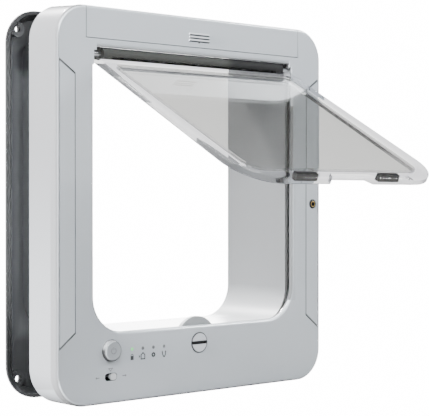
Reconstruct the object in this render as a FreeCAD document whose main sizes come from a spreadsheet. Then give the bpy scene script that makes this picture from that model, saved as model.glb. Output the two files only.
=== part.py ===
import FreeCAD
import Part
import Sketcher
import math
import os

# Cat flap for a door about 30 mm thick, seen from the indoor side.
# Frame: X to the right, Y into the door, Z up, millimetres.
# Y = 0 is the door's inner face, where the indoor housing's rim rests.
# X = Z = 0 is the middle of the four corner screw holes.
# Each group of sizes below sits next to the pieces that it drives.

Vector = FreeCAD.Vector
doc = FreeCAD.newDocument("cat_flap")
sheet = doc.addObject("Spreadsheet::Sheet", "sizes")
aliases = []
pieces = {}


class Size:
    """A length with its present value and the expression that gives it."""

    def __init__(self, value, text):
        self.value = float(value)
        self.text = text

    def join(self, sign, other, value):
        return Size(value, "(" + self.text + " " + sign + " " + as_size(other).text + ")")

    def __add__(self, other):
        return self.join("+", other, self.value + as_size(other).value)

    def __sub__(self, other):
        return self.join("-", other, self.value - as_size(other).value)

    def __mul__(self, other):
        return self.join("*", other, self.value * as_size(other).value)

    def __truediv__(self, other):
        return self.join("/", other, self.value / as_size(other).value)

    def __radd__(self, other):
        return as_size(other) + self

    def __rsub__(self, other):
        return as_size(other) - self

    def __neg__(self):
        return Size(-self.value, "(0 - " + self.text + ")")


def as_size(number):
    if isinstance(number, Size):
        return number
    if number < 0:
        return Size(number, "(0 - " + repr(abs(number)) + ")")
    return Size(number, repr(number))


def size(name, value):
    """Writes one driving dimension to the sheet and returns it."""
    aliases.append(name)
    row = str(len(aliases))
    sheet.set("A" + row, name)
    sheet.set("B" + row, str(value))
    sheet.setAlias("B" + row, name)
    return Size(value, "sizes." + name)


# Small gaps and fits that many pieces share
seam = size("seam", 0.5)
clearance = size("clearance", 0.3)
slip = size("slip", 0.08)
weld = size("weld", 0.2)

# Indoor housing: the face is a rounded rectangle, the sides flare to the rim
face_width = size("face_width", 241)
face_height = size("face_height", 262.5)
face_radius = size("face_radius", 22.6)
face_edge = size("face_edge", 2.0)
housing_depth = size("housing_depth", 27)
side_flare = size("side_flare", 2.8)
top_flare = size("top_flare", 2.0)
wall = size("wall", 2.5)
front = -housing_depth
behind_wall = front + wall
face_drop = size("face_drop", 1.05)
half_face = face_width / 2
half_height = face_height / 2
face_top = half_height - face_drop
face_bottom = -half_height - face_drop

# Opening in the face, with a rolled lip
side_margin = size("side_margin", 30.1)
top_margin = size("top_margin", 26.25)
bottom_margin = size("bottom_margin", 47.55)
opening_half = half_face - side_margin
opening_top = face_top - top_margin
opening_bottom = face_bottom + bottom_margin
opening_radius = size("opening_radius", 24)
opening_upper_radius = size("opening_upper_radius", 2)
lip_round = size("lip_round", 2.4)
cheek_inset = size("cheek_inset", 1.9)
cheek_step = size("cheek_step", 0.3)
cheek_height = size("cheek_height", 2.65)
cheek_length = size("cheek_length", 12.4)

# Tunnel that lines the cut-out in the door
lip_step = size("lip_step", 2.4)
floor_step = size("floor_step", 2.7)
ceiling_step = size("ceiling_step", 2.5)
tunnel_radius = size("tunnel_radius", 24)
tunnel_upper_radius = size("tunnel_upper_radius", 4)
tunnel_wall = size("tunnel_wall", 2.5)
tunnel_setback = size("tunnel_setback", 9.5)
flange_rise = size("flange_rise", 5)
flange_thick = size("flange_thick", 2)
tunnel_front = front + tunnel_setback
tunnel_side = opening_half + lip_step
tunnel_floor = opening_bottom - floor_step
tunnel_ceiling = opening_top + ceiling_step
tunnel_outside = tunnel_side + tunnel_wall
tunnel_underside = tunnel_floor - tunnel_wall
tunnel_roof = tunnel_ceiling + tunnel_wall

# Outdoor frame, on the far side of the door
door_thickness = size("door_thickness", 29)
outdoor_depth = size("outdoor_depth", 18)
outdoor_overhang = size("outdoor_overhang", 1.5)
outdoor_rise = size("outdoor_rise", 1.5)
outdoor_radius = size("outdoor_radius", 23.5)
outdoor_edge = size("outdoor_edge", 2.2)
outdoor_slope = size("outdoor_slope", 7)
outdoor_step = size("outdoor_step", 3)
outdoor_shoulder = size("outdoor_shoulder", 12)
outdoor_skin = size("outdoor_skin", 3)
outdoor_round = size("outdoor_round", 1)
sleeve_wall = size("sleeve_wall", 4.2)
sleeve_reach = size("sleeve_reach", 17)
outdoor_rim = door_thickness
shoulder_depth = outdoor_rim + outdoor_shoulder
tunnel_end = door_thickness + outdoor_depth

# Corner screws: bosses outdoors, blind pillars indoors
pattern_inset = size("pattern_inset", 11.1)
pattern_inset_z = size("pattern_inset_z", 12.1)
pattern_half = half_face - pattern_inset
pattern_half_z = half_height - pattern_inset_z
boss_radius = size("boss_radius", 5.4)
boss_hole = size("boss_hole", 2.15)
boss_sink = size("boss_sink", 6.3)
boss_floor = size("boss_floor", 2)
head_recess = size("head_recess", 4)
boss_face = outdoor_rim + boss_sink
pillar_radius = size("pillar_radius", 4.2)
pillar_hole = size("pillar_hole", 2.0)
pillar_hole_depth = size("pillar_hole_depth", 18)

# Battery cover along the top edge, with three grip ribs
cover_overlap = size("cover_overlap", 6.5)
bridge = size("bridge", 5.1)
cover_half = opening_half + cover_overlap
cover_seam = opening_top + bridge
cover_thick = size("cover_thick", 2.2)
cover_shortfall = size("cover_shortfall", 5)
cover_reach = housing_depth - cover_shortfall
rib_count = 3
rib_width = size("rib_width", 18.4)
rib_height = size("rib_height", 1.1)
rib_pitch = size("rib_pitch", 2.2)
rib_proud = size("rib_proud", 0.6)
rib_rise = size("rib_rise", 4.3)
rib_lowest = cover_seam + rib_rise

# Side covers with mitred ends
strip_width = size("strip_width", 12.9)
strip_margin = size("strip_margin", 2.3)
strip_top_gap = size("strip_top_gap", 18.5)
strip_bottom_gap = size("strip_bottom_gap", 0.7)
mitre_top = size("mitre_top", 8.9)
mitre_bottom = size("mitre_bottom", 10.2)
strip_outer = half_face - strip_margin
strip_inner = strip_outer - strip_width
strip_top_inner = opening_top - strip_top_gap
strip_top_outer = strip_top_inner + mitre_top
strip_bottom_inner = opening_bottom + strip_bottom_gap
strip_bottom_outer = strip_bottom_inner - mitre_bottom
strip_plate = size("strip_plate", 1.6)
strip_rim = size("strip_rim", 1.2)
recess_depth = size("recess_depth", 3.9)
recess_floor = size("recess_floor", 2)
backing = size("backing", 1.2)
peg_radius = size("peg_radius", 1.5)
peg_length = size("peg_length", 4)
peg_inset = size("peg_inset", 26.5)
peg_inset_low = size("peg_inset_low", 23)
middle_inset = size("middle_inset", 6.3)
peg_heights = (strip_top_inner - peg_inset, strip_bottom_inner + peg_inset_low)
strip_middle = strip_outer - middle_inset
recess_face = front + recess_depth
recess_back = recess_face + recess_floor

# Case screws under the side covers
case_inset = size("case_inset", 11.5)
case_inset_low = size("case_inset_low", 8)
case_screw_heights = (strip_top_inner - case_inset, strip_bottom_inner + case_inset_low)
case_screw_shank = size("case_screw_shank", 1.5)
case_screw_head = size("case_screw_head", 3.0)
case_screw_cap = size("case_screw_cap", 1.8)
case_screw_length = size("case_screw_length", 14)
case_pillar = size("case_pillar", 3.6)

# Rear cover
cover_plate_thick = size("cover_plate_thick", 2)
cover_plate_back = size("cover_plate_back", -0.6)
cover_plate_front = cover_plate_back - cover_plate_thick
margin = size("margin", 0.9)

# Controls along the bottom of the face
control_drop = size("control_drop", 12.3)
control_height = opening_bottom - control_drop
knob_radius = size("knob_radius", 7.1)
knob_proud = size("knob_proud", 0.4)
knob_slot = size("knob_slot", 1.7)
knob_slot_depth = size("knob_slot_depth", 1.8)
axle_radius = size("axle_radius", 3)
button_inset = size("button_inset", 43.6)
button_place = button_inset - half_face
button_radius = size("button_radius", 7.1)
button_proud = size("button_proud", 3.0)
button_travel = size("button_travel", 1.2)
button_flange = size("button_flange", 8.6)
button_round = size("button_round", 1.6)
stem_radius = size("stem_radius", 2.5)
switch_drop = size("switch_drop", 17.4)
switch_height = control_height - switch_drop
switch_length = size("switch_length", 10.2)
switch_width = size("switch_width", 5.2)
switch_travel = size("switch_travel", 4.2)
led_radius = size("led_radius", 1.1)
led_offset = size("led_offset", 17.5)
led_first = button_place + led_offset
led_pitch = size("led_pitch", 9.15)
led_count = 4
led_drop = size("led_drop", 0.3)
led_height = control_height - led_drop

# Lock wheel behind the sill
wheel_radius = size("wheel_radius", 18.3)
wheel_thick = size("wheel_thick", 3.2)
lobe_radius = size("lobe_radius", 25)
lobe_thick = size("lobe_thick", 1.2)
wheel_hub = size("wheel_hub", 6)
wheel_gap = size("wheel_gap", 0.4)
bracket_depth = size("bracket_depth", 13)
bracket_thick = size("bracket_thick", 3)
bracket_half = size("bracket_half", 8)
bracket_gap = size("bracket_gap", 1.5)
lobe_half = size("lobe_half", 14)
bracket_front = front + bracket_depth
bracket_back = bracket_front + bracket_thick

# Circuit board and what it carries
board_reach = size("board_reach", 23.1)
board_length = size("board_length", 71)
board_lift = size("board_lift", 1.75)
board_gap = size("board_gap", 2.6)
board_depth = size("board_depth", 12.4)
floor_inside = face_bottom + wall
board_left = button_place - board_reach
board_right = board_left + board_length
board_bottom = floor_inside + board_lift
board_top = tunnel_underside - board_gap
board_front = front + board_depth
board_thick = size("board_thick", 1.6)
board_boss = size("board_boss", 3)
board_screw_drop = size("board_screw_drop", 10)
board_upper_screw = control_height - board_screw_drop
board_pilot = size("board_pilot", 1.1)
board_screw_length = size("board_screw_length", 7)
board_screw_head = size("board_screw_head", 2.4)
board_screw_cap = size("board_screw_cap", 1.4)
board_inset = size("board_inset", 4)

tact_depth = size("tact_depth", 3.5)
tact_half = size("tact_half", 3)
slider_body_depth = size("slider_body_depth", 3)
slider_half = size("slider_half", 2.6)
slider_height = size("slider_height", 2.2)
slider_stem = size("slider_stem", 1.3)
mode_half = size("mode_half", 6.5)
mode_half_z = size("mode_half_z", 3.5)

# Electric bolt that rises behind the sill into the flap
bolt_place = size("bolt_place", 52)
bolt_depth = size("bolt_depth", 6.8)
bolt_y = front + bolt_depth
bolt_blade = size("bolt_blade", 6)
bolt_thick = size("bolt_thick", 2)
bolt_drop = size("bolt_drop", 1.3)
bolt_top = opening_bottom - bolt_drop
bolt_length = size("bolt_length", 12)
plunger_radius = size("plunger_radius", 2.2)
plunger_length = size("plunger_length", 24)
bolt_travel = size("bolt_travel", 15)
solenoid_width = size("solenoid_width", 18)
solenoid_depth = size("solenoid_depth", 14)
solenoid_height = size("solenoid_height", 27)
bore_floor = size("bore_floor", 0.4)
bore_margin = size("bore_margin", 6)

# Flap, drawn hanging straight down from its hinge line
hinge_depth = size("hinge_depth", 5)
hinge_drop = size("hinge_drop", 4.5)
sill_gap = size("sill_gap", 10.2)
flap_angle = size("flap_angle", 61.4)
flap_gap_top = size("flap_gap_top", 0.9)
flap_gap_bottom = size("flap_gap_bottom", 2.4)
hinge_y = front + hinge_depth
hinge_z = opening_top - hinge_drop
flap_length = hinge_z - opening_bottom - sill_gap
flap_half_top = opening_half - flap_gap_top
flap_half_bottom = opening_half - flap_gap_bottom
flap_thick = size("flap_thick", 5)
flap_forward = size("flap_forward", 0.3)
flap_shoulder = size("flap_shoulder", 4.8)
flap_corner = size("flap_corner", 29)
tongue_thick = size("tongue_thick", 2.4)
tongue_length = size("tongue_length", 3.8)
window_top = size("window_top", 16)
rim_bottom = size("rim_bottom", 13.7)
rim_side_top = size("rim_side_top", 10)
rim_side_bottom = size("rim_side_bottom", 13)
window_bottom = flap_length - rim_bottom
window_half_top = flap_half_top - rim_side_top
window_half_bottom = flap_half_bottom - rim_side_bottom
window_corner = size("window_corner", 11)
window_upper_corner = size("window_upper_corner", 6)
ledge = size("ledge", 2)
panel_thick = size("panel_thick", 2)
panel_sink = size("panel_sink", 0.9)
panel_gap = size("panel_gap", 0.1)
flap_edge = size("flap_edge", 1.2)
notch_half = size("notch_half", 16.5)
notch_shoulder = size("notch_shoulder", 3.5)
notch_depth = size("notch_depth", 6.2)
magnet_place = size("magnet_place", 37.1)
magnet_width = size("magnet_width", 18.6)
magnet_height = size("magnet_height", 3.6)
magnet_thick = size("magnet_thick", 4.6)
magnet_rise = size("magnet_rise", 4.4)
magnet_seat = size("magnet_seat", 4.7)
keeper_width = size("keeper_width", 7)
keeper_near = size("keeper_near", 0.5)
keeper_thick = size("keeper_thick", 2.6)
keeper_depth = size("keeper_depth", 6)
rail_radius = size("rail_radius", 4.5)
rail_gap = size("rail_gap", 2)
rail_half = opening_half - rail_gap
rail_cutout = size("rail_cutout", 6.2)
pin_radius = size("pin_radius", 1.5)
pin_grip = size("pin_grip", 12.4)
pin_short = size("pin_short", 1.4)
bearing_gap = size("bearing_gap", 0.5)
bearing_width = size("bearing_width", 5.5)
bearing_half = size("bearing_half", 6)
bearing_inner = opening_half + bearing_gap
bearing_outer = bearing_inner + bearing_width
pin_inner = rail_half - pin_grip
pin_outer = bearing_outer - pin_short
rail_slot_half = pin_inner - seam
tongue_half = rail_slot_half - clearance

# Batteries in one row along the top
cell_radius = size("cell_radius", 5.25)
cell_length = size("cell_length", 44.5)
cell_nub = size("cell_nub", 1)
cell_nub_radius = size("cell_nub_radius", 2)
cell_count = 4
cell_depth = size("cell_depth", 10.2)
cell_y = front + cell_depth
cell_rise = size("cell_rise", 6.6)
cell_gap = size("cell_gap", 0.05)
holder_depth = size("holder_depth", 17.6)
spring_room = size("spring_room", 7.8)
holder_back = front + holder_depth
holder_height = size("holder_height", 10)
holder_end = size("holder_end", 1.6)
contact_thick = size("contact_thick", 0.5)
spring_radius = size("spring_radius", 3.2)
spring_wire = size("spring_wire", 0.35)
spring_turns = 4
holder_half = (cell_length * cell_count + contact_thick * 2 + spring_room) / 2 + holder_end
holder_front = front + cover_thick
inner_end = holder_half - holder_end
cell_z = tunnel_roof + cell_rise

# Aerial around the tunnel, light sensor, sill magnets
aerial_gap = size("aerial_gap", 1)
aerial_space = size("aerial_space", 0.6)
aerial_front = holder_back + aerial_gap
aerial_width = cover_plate_front - flange_thick - aerial_space - aerial_front
aerial_thick = size("aerial_thick", 3)
sensor_radius = size("sensor_radius", 3.4)
sensor_inset = size("sensor_inset", 5.5)
sensor_rise = size("sensor_rise", 0.6)
sensor_height = sensor_rise - face_drop
sensor_collar = size("sensor_collar", 4.6)
sensor_collar_thick = size("sensor_collar_thick", 1.5)
sensor_place = strip_outer - sensor_inset
catch_width = size("catch_width", 20)
catch_thick = size("catch_thick", 5)
catch_depth = size("catch_depth", 8)

doc.recompute()


# Sketch helpers

def bind(sketch, kind, arguments, name, length):
    """Adds a dimension whose length follows the sheet."""
    index = sketch.addConstraint(Sketcher.Constraint(kind, *arguments, length.value))
    sketch.renameConstraint(index, name)
    sketch.setExpression("Constraints." + name, length.text)


def place_point(sketch, geometry, end, across, along, name):
    bind(sketch, "DistanceX", (-1, 1, geometry, end), name + "_x", across)
    bind(sketch, "DistanceY", (-1, 1, geometry, end), name + "_y", along)


def polygon(sketch, points, name="corner"):
    """Straight outline through points given as pairs of sizes."""
    corners = [Vector(a.value, b.value, 0) for a, b in points]
    count = len(corners)
    first = sketch.GeometryCount
    for i in range(count):
        line = Part.LineSegment(corners[i], corners[(i + 1) % count])
        sketch.addGeometry(line, False)
    for i in range(count):
        following = first + (i + 1) % count
        sketch.addConstraint(Sketcher.Constraint("Coincident", first + i, 2, following, 1))
    for i in range(count):
        across, along = points[i]
        place_point(sketch, first + i, 1, across, along, name + str(first + i))


def rectangle(sketch, left, right, bottom, top):
    points = [(left, bottom), (right, bottom), (right, top), (left, top)]
    polygon(sketch, [(as_size(a), as_size(b)) for a, b in points])


def circle(sketch, across, along, radius):
    centre = Vector(across.value, along.value, 0)
    ring = sketch.addGeometry(Part.Circle(centre, Vector(0, 0, 1), radius.value), False)
    place_point(sketch, ring, 3, across, along, "centre" + str(ring))
    bind(sketch, "Radius", (ring,), "radius" + str(ring), radius)


def rounded(sketch, half, bottom, top, lower, upper, middle=0):
    """Rounded rectangle about a middle line, with its own lower and upper radii."""
    left_side = as_size(middle) - half
    right_side = as_size(middle) + half
    left, right = left_side.value, right_side.value
    low, high = bottom.value, top.value
    small, large = upper.value, lower.value
    up = Vector(0, 0, 1)
    quarter = math.pi / 2

    def line(ax, az, bx, bz):
        return sketch.addGeometry(Part.LineSegment(Vector(ax, az, 0), Vector(bx, bz, 0)), False)

    def arc(cx, cz, radius, start):
        ring = Part.Circle(Vector(cx, cz, 0), up, radius)
        return sketch.addGeometry(Part.ArcOfCircle(ring, start, start + quarter), False)

    sides = [
        line(left + large, low, right - large, low),
        arc(right - large, low + large, large, -quarter),
        line(right, low + large, right, high - small),
        arc(right - small, high - small, small, 0),
        line(right - small, high, left + small, high),
        arc(left + small, high - small, small, quarter),
        line(left, high - small, left, low + large),
        arc(left + large, low + large, large, 2 * quarter),
    ]
    for i in range(8):
        joint = Sketcher.Constraint("Tangent", sides[i], 2, sides[(i + 1) % 8], 1)
        sketch.addConstraint(joint)
    for i, kind in ((0, "Horizontal"), (2, "Vertical"), (4, "Horizontal"), (6, "Vertical")):
        sketch.addConstraint(Sketcher.Constraint(kind, sides[i]))
    tag = str(sides[0])
    bind(sketch, "DistanceX", (-1, 1, sides[6], 1), "left" + tag, left_side)
    bind(sketch, "DistanceX", (-1, 1, sides[2], 1), "right" + tag, right_side)
    bind(sketch, "DistanceY", (-1, 1, sides[0], 1), "bottom" + tag, bottom)
    bind(sketch, "DistanceY", (-1, 1, sides[4], 1), "top" + tag, top)
    bind(sketch, "Radius", (sides[1],), "lower" + tag, lower)
    bind(sketch, "Radius", (sides[3],), "upper" + tag, upper)
    sketch.addConstraint(Sketcher.Constraint("Equal", sides[1], sides[7]))
    sketch.addConstraint(Sketcher.Constraint("Equal", sides[3], sides[5]))


# Body helpers: every sketch here lies in a plane facing along Y unless said otherwise

def helper_body(label):
    body = doc.addObject("PartDesign::Body", label)
    body.Label = label
    return body


def new_body(label):
    body = helper_body(label)
    pieces[label] = body
    return body


def new_sketch(body, depth, role="XZ_Plane"):
    sketch = body.newObject("Sketcher::SketchObject", "outline")
    plane = [f for f in body.Origin.OriginFeatures if f.Role == role][0]
    sketch.AttachmentSupport = [(plane, "")]
    sketch.MapMode = "FlatFace"
    offset = as_size(depth)
    if role == "XZ_Plane":
        offset = -offset
    sketch.setExpression("AttachmentOffset.Base.z", offset.text)
    return sketch


def add_or_cut(body, kind, start, end, drawings):
    """Extrudes the drawings from depth start to depth end, towards the door."""
    sketch = new_sketch(body, start)
    for draw, *arguments in drawings:
        draw(sketch, *arguments)
    before = body.Shape.Volume if body.Tip else 0.0
    feature = body.newObject("PartDesign::" + kind, kind.lower())
    feature.Profile = sketch
    feature.setExpression("Length", (as_size(end) - start).text)
    feature.Reversed = kind == "Pad"
    doc.recompute()
    change = body.Shape.Volume - before
    if (kind == "Pad") != (change > 0):
        raise RuntimeError(body.Label + ": a " + kind + " changed nothing")
    return feature


def pad(body, start, end, *drawings):
    return add_or_cut(body, "Pad", start, end, drawings)


def pocket(body, start, end, *drawings):
    return add_or_cut(body, "Pocket", start, end, drawings)


def loft(body, kind, start, first, end, second):
    """Ruled transition between two rounded rectangles at two depths."""
    near = new_sketch(body, start)
    rounded(near, *first)
    far = new_sketch(body, end)
    rounded(far, *second)
    feature = body.newObject("PartDesign::" + kind, "loft")
    feature.Profile = near
    feature.Sections = [far]
    feature.Ruled = True
    doc.recompute()
    return feature


def fillet(body, radius, chosen, kind="Fillet"):
    """Rounds or bevels the body's edges for which chosen(edge) is true."""
    base = body.Tip
    names = []
    for i, edge in enumerate(body.Shape.Edges):
        if chosen(edge):
            names.append("Edge" + str(i + 1))
    if not names:
        raise RuntimeError(body.Label + ": no edge to round")
    feature = body.newObject("PartDesign::" + kind, kind.lower())
    feature.Base = (base, names)
    feature.setExpression("Radius" if kind == "Fillet" else "Size", radius.text)
    doc.recompute()
    return feature


def in_plane(edge, depth):
    box = edge.BoundBox
    return abs(box.YMin - depth) < 0.001 and abs(box.YMax - depth) < 0.001


def along_depth(edge):
    box = edge.BoundBox
    return box.XLength < 0.001 and box.ZLength < 0.001 and box.YLength > 0.1


# Solid helpers for turned and square pieces

def set_base(item, x, y, z):
    for axis, place in (("x", x), ("y", y), ("z", z)):
        item.setExpression("Placement.Base." + axis, as_size(place).text)


def block(x0, x1, y0, y1, z0, z1):
    item = doc.addObject("Part::Box", "block")
    for name, low, high in (("Length", x0, x1), ("Width", y0, y1), ("Height", z0, z1)):
        item.setExpression(name, (as_size(high) - low).text)
    set_base(item, x0, y0, z0)
    return item


turns = {
    "x": FreeCAD.Rotation(Vector(0, 1, 0), 90),
    "y": FreeCAD.Rotation(Vector(1, 0, 0), -90),
    "z": FreeCAD.Rotation(),
}


def cylinder(x, y, z, radius, length, axis="y"):
    item = doc.addObject("Part::Cylinder", "cylinder")
    item.Placement = FreeCAD.Placement(Vector(), turns[axis])
    item.setExpression("Radius", as_size(radius).text)
    item.setExpression("Height", as_size(length).text)
    set_base(item, x, y, z)
    return item


def combine(kind, items):
    item = doc.addObject("Part::" + kind, kind.lower())
    item.Shapes = items
    return item


def fuse(*items):
    return combine("MultiFuse", list(items))


def cut(base, *tools):
    item = doc.addObject("Part::Cut", "cut")
    item.Base = base
    item.Tool = tools[0] if len(tools) == 1 else fuse(*tools)
    return item


def group(*items):
    item = doc.addObject("Part::Compound", "group")
    item.Links = list(items)
    return item


def keep(label, item):
    item.Label = label
    pieces[label] = item
    return item


def mirrored_pairs(across):
    return (across, -across)


# Front housing: a tray open towards the door

face_outline = (half_face, face_bottom, face_top, face_radius, face_radius)
rim_outline = (half_face + side_flare, face_bottom, face_top + top_flare,
               face_radius + side_flare, face_radius + side_flare)
inner_radius = face_radius - wall
front_hollow = (half_face - wall, floor_inside, face_top - wall,
                inner_radius, inner_radius)
rim_hollow = (half_face + side_flare - wall, floor_inside,
              face_top + top_flare - wall,
              inner_radius + side_flare, inner_radius + side_flare)

housing = new_body("front_housing")
loft(housing, "AdditiveLoft", front, face_outline, as_size(0), rim_outline)
loft(housing, "SubtractiveLoft", behind_wall, front_hollow, as_size(0), rim_hollow)
fillet(housing, face_edge, lambda edge: in_plane(edge, front.value))


def strip(sign, grow):
    """Mitred outline of one side cover; grow widens it all round."""
    inner = (strip_inner - grow) * sign
    outer = (strip_outer + grow) * sign
    return (polygon, [
        (inner, strip_bottom_inner - grow),
        (outer, strip_bottom_outer - grow),
        (outer, strip_top_outer + grow),
        (inner, strip_top_inner + grow),
    ])


pad(housing, behind_wall - weld, recess_back,
    (polygon, [(strip_inner - backing, strip_bottom_inner - backing),
               (strip_outer, strip_bottom_outer - backing),
               (strip_outer, strip_top_outer + backing),
               (strip_inner - backing, strip_top_inner + backing)]),
    (polygon, [(backing - strip_inner, strip_bottom_inner - backing),
               (-strip_outer, strip_bottom_outer - backing),
               (-strip_outer, strip_top_outer + backing),
               (backing - strip_inner, strip_top_inner + backing)]))
pocket(housing, front, recess_face, strip(1, as_size(0)), strip(-1, as_size(0)))

# Pillars at the four corners take the screws that come through the door
pattern = []
for across in mirrored_pairs(pattern_half):
    for along in mirrored_pairs(pattern_half_z):
        pattern.append((across, along))
pad(housing, behind_wall - weld, 0, *[(circle, a, b, pillar_radius) for a, b in pattern])
pocket(housing, -pillar_hole_depth, 0, *[(circle, a, b, pillar_hole) for a, b in pattern])

# Opening, its rolled lip and the bay for the battery cover
pocket(housing, front, behind_wall,
       (rounded, opening_half, opening_bottom, opening_top,
        opening_radius, opening_upper_radius))


def on_lip(edge):
    box = edge.BoundBox
    inside = abs(box.Center.x) < opening_half.value + 0.01
    level = opening_bottom.value - 0.01 < box.Center.z < opening_top.value + 0.01
    return in_plane(edge, front.value) and inside and level


fillet(housing, lip_round, on_lip)


def cheek(sign):
    """Square-edged corner beside one end of the hinge, flush with the face."""
    inner = (opening_half - cheek_inset) * sign
    outer = (opening_half + cheek_step) * sign
    beyond = (opening_half + lip_round + cheek_step) * sign
    top = opening_top + lip_round + cheek_step
    step = opening_top - cheek_height
    bottom = opening_top - cheek_length
    return (polygon, [(inner, step), (outer, step), (outer, bottom),
                      (beyond, bottom), (beyond, top), (inner, top)])


pad(housing, front, behind_wall, cheek(1), cheek(-1))
bay_half = cover_half + seam / 2
pocket(housing, front, front + cover_reach + seam,
       (rectangle, -bay_half, bay_half, cover_seam - seam / 2, face_top + top_flare * 2))

# Room for the battery holder, also where the screw pillars stand close
pocket(housing, holder_front, holder_back,
       (rectangle, -holder_half - clearance, holder_half + clearance,
        cell_z - cell_radius, cell_z + cell_radius + cell_gap))

# Board bosses stand on the back of the face
board_holes = []
for across in (board_left + board_inset, board_right - board_inset):
    for along in (board_bottom + board_inset, board_upper_screw):
        board_holes.append((across, along))
pad(housing, behind_wall - weld, board_front, *[(circle, a, b, board_boss) for a, b in board_holes])
pocket(housing, board_front - board_screw_length, board_front,
       *[(circle, a, b, board_pilot) for a, b in board_holes])

# Holes for the controls
leds = [led_first + led_pitch * i for i in range(led_count)]
pocket(housing, front, behind_wall,
       (circle, as_size(0), control_height, knob_radius + clearance),
       (circle, button_place, control_height, button_radius + clearance),
       (rounded, switch_length / 2, switch_height - switch_width / 2,
        switch_height + switch_width / 2, switch_width * 0.45, switch_width * 0.45,
        button_place),
       *[(circle, place, led_height, led_radius + weld / 4) for place in leds])


# Recess floors: peg holes, screw holes and the hole for the light sensor
for sign in (1, -1):
    middle = strip_middle * sign
    holes = []
    for along in peg_heights:
        holes.append((circle, middle, along, peg_radius + slip))
    for along in case_screw_heights:
        holes.append((circle, middle, along, case_screw_shank + weld))
    if sign == 1:
        holes.append((circle, sensor_place, sensor_height, sensor_radius + slip))
    pocket(housing, recess_face, recess_back, *holes)

# Side covers: a thin plate with a rim and two pegs each
for label, sign in (("left_side_cover", -1), ("right_side_cover", 1)):
    cover = new_body(label)
    pad(cover, front, recess_face, strip(sign, -seam))
    pocket(cover, front + strip_plate, recess_face, strip(sign, -seam - strip_rim))
    pegs = [(circle, strip_middle * sign, along, peg_radius) for along in peg_heights]
    pad(cover, front + strip_plate - weld, recess_face + peg_length, *pegs)
    if sign == 1:
        pocket(cover, front, front + strip_plate,
               (circle, sensor_place, sensor_height, sensor_radius + clearance))

# Rear cover: a frame round the tunnel with four pillars for the case screws
rear = new_body("rear_cover")
pad(rear, cover_plate_front, cover_plate_back,
    (rounded, half_face + side_flare - wall - margin, floor_inside + clearance,
     face_top + top_flare - wall - margin,
     inner_radius + side_flare - margin, inner_radius + side_flare - margin),
    (rounded, tunnel_outside + clearance, tunnel_underside - clearance, tunnel_roof + clearance,
     tunnel_radius + tunnel_wall + clearance, tunnel_upper_radius + tunnel_wall + clearance))
pocket(rear, cover_plate_front, cover_plate_back,
       *[(circle, a, b, pillar_radius + clearance) for a, b in pattern])
case_places = []
for across in mirrored_pairs(strip_middle):
    for along in case_screw_heights:
        case_places.append((across, along))
pad(rear, recess_back, cover_plate_front + weld, *[(circle, a, b, case_pillar) for a, b in case_places])
pocket(rear, recess_back, recess_face + case_screw_length + 1,
       *[(circle, a, b, case_screw_shank + 0.02) for a, b in case_places])

# Tunnel: a rounded tube with a flange that the rear cover clamps
tunnel = new_body("tunnel")
tunnel_inside = (rounded, tunnel_side, tunnel_floor, tunnel_ceiling,
                 tunnel_radius, tunnel_upper_radius)
pad(tunnel, tunnel_front, tunnel_end, tunnel_inside,
    (rounded, tunnel_outside, tunnel_underside, tunnel_roof,
     tunnel_radius + tunnel_wall, tunnel_upper_radius + tunnel_wall))
pad(tunnel, cover_plate_front - flange_thick, cover_plate_front,
    (rounded, tunnel_side + 1, tunnel_floor - 1, tunnel_ceiling + 1,
     tunnel_radius + 1, tunnel_upper_radius + 1),
    (rounded, tunnel_outside + flange_rise, tunnel_underside - flange_rise,
     tunnel_roof + flange_rise, tunnel_radius + tunnel_wall + flange_rise,
     tunnel_upper_radius + tunnel_wall + flange_rise))

# Outdoor frame: a tray open towards the door, steep up to a shoulder and flatter beyond it,
# with a sleeve round the tunnel
outdoor_half = half_face + outdoor_overhang
outdoor_top = face_top + outdoor_rise
outdoor_outline = (outdoor_half, face_bottom, outdoor_top, outdoor_radius, outdoor_radius)
outdoor_inside = (outdoor_half - wall, floor_inside, outdoor_top - wall,
                  outdoor_radius - wall, outdoor_radius - wall)
shoulder_radius = outdoor_radius - outdoor_step
shoulder_outline = (outdoor_half - outdoor_slope, face_bottom + outdoor_step,
                    outdoor_top - outdoor_step, shoulder_radius, shoulder_radius)
shoulder_inside = (outdoor_half - outdoor_slope - wall, floor_inside + outdoor_step,
                   outdoor_top - outdoor_step - wall,
                   shoulder_radius - wall, shoulder_radius - wall)
sleeve_corner = tunnel_radius + tunnel_wall + clearance
sleeve_upper = tunnel_upper_radius + tunnel_wall + clearance
sleeve_inside = (tunnel_outside + clearance, tunnel_underside - clearance,
                 tunnel_roof + clearance, sleeve_corner, sleeve_upper)
sleeve_outside = (tunnel_outside + clearance + sleeve_wall,
                  tunnel_underside - clearance - sleeve_wall,
                  tunnel_roof + clearance + sleeve_wall,
                  sleeve_corner + sleeve_wall, sleeve_upper + sleeve_wall)
outer = helper_body("outdoor_outside")
pad(outer, outdoor_rim, outdoor_rim + outdoor_edge, (rounded, *outdoor_outline))
loft(outer, "AdditiveLoft", outdoor_rim + outdoor_edge, outdoor_outline,
     shoulder_depth, shoulder_outline)
loft(outer, "AdditiveLoft", shoulder_depth, shoulder_outline, tunnel_end, sleeve_outside)
fillet(outer, outdoor_round, lambda edge: in_plane(edge, tunnel_end.value))
inner = helper_body("outdoor_hollow")
loft(inner, "AdditiveLoft", outdoor_rim, outdoor_inside,
     shoulder_depth - wall, shoulder_inside)
loft(inner, "AdditiveLoft", shoulder_depth - wall, shoulder_inside,
     tunnel_end - outdoor_skin, sleeve_outside)
sleeve = helper_body("outdoor_sleeve")
sleeve_start = tunnel_end - wall - sleeve_reach
pad(sleeve, sleeve_start, tunnel_end - outdoor_round, (rounded, *sleeve_outside))
passage = helper_body("outdoor_passage")
pad(passage, sleeve_start - 1, tunnel_end + 1, (rounded, *sleeve_inside))

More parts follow.
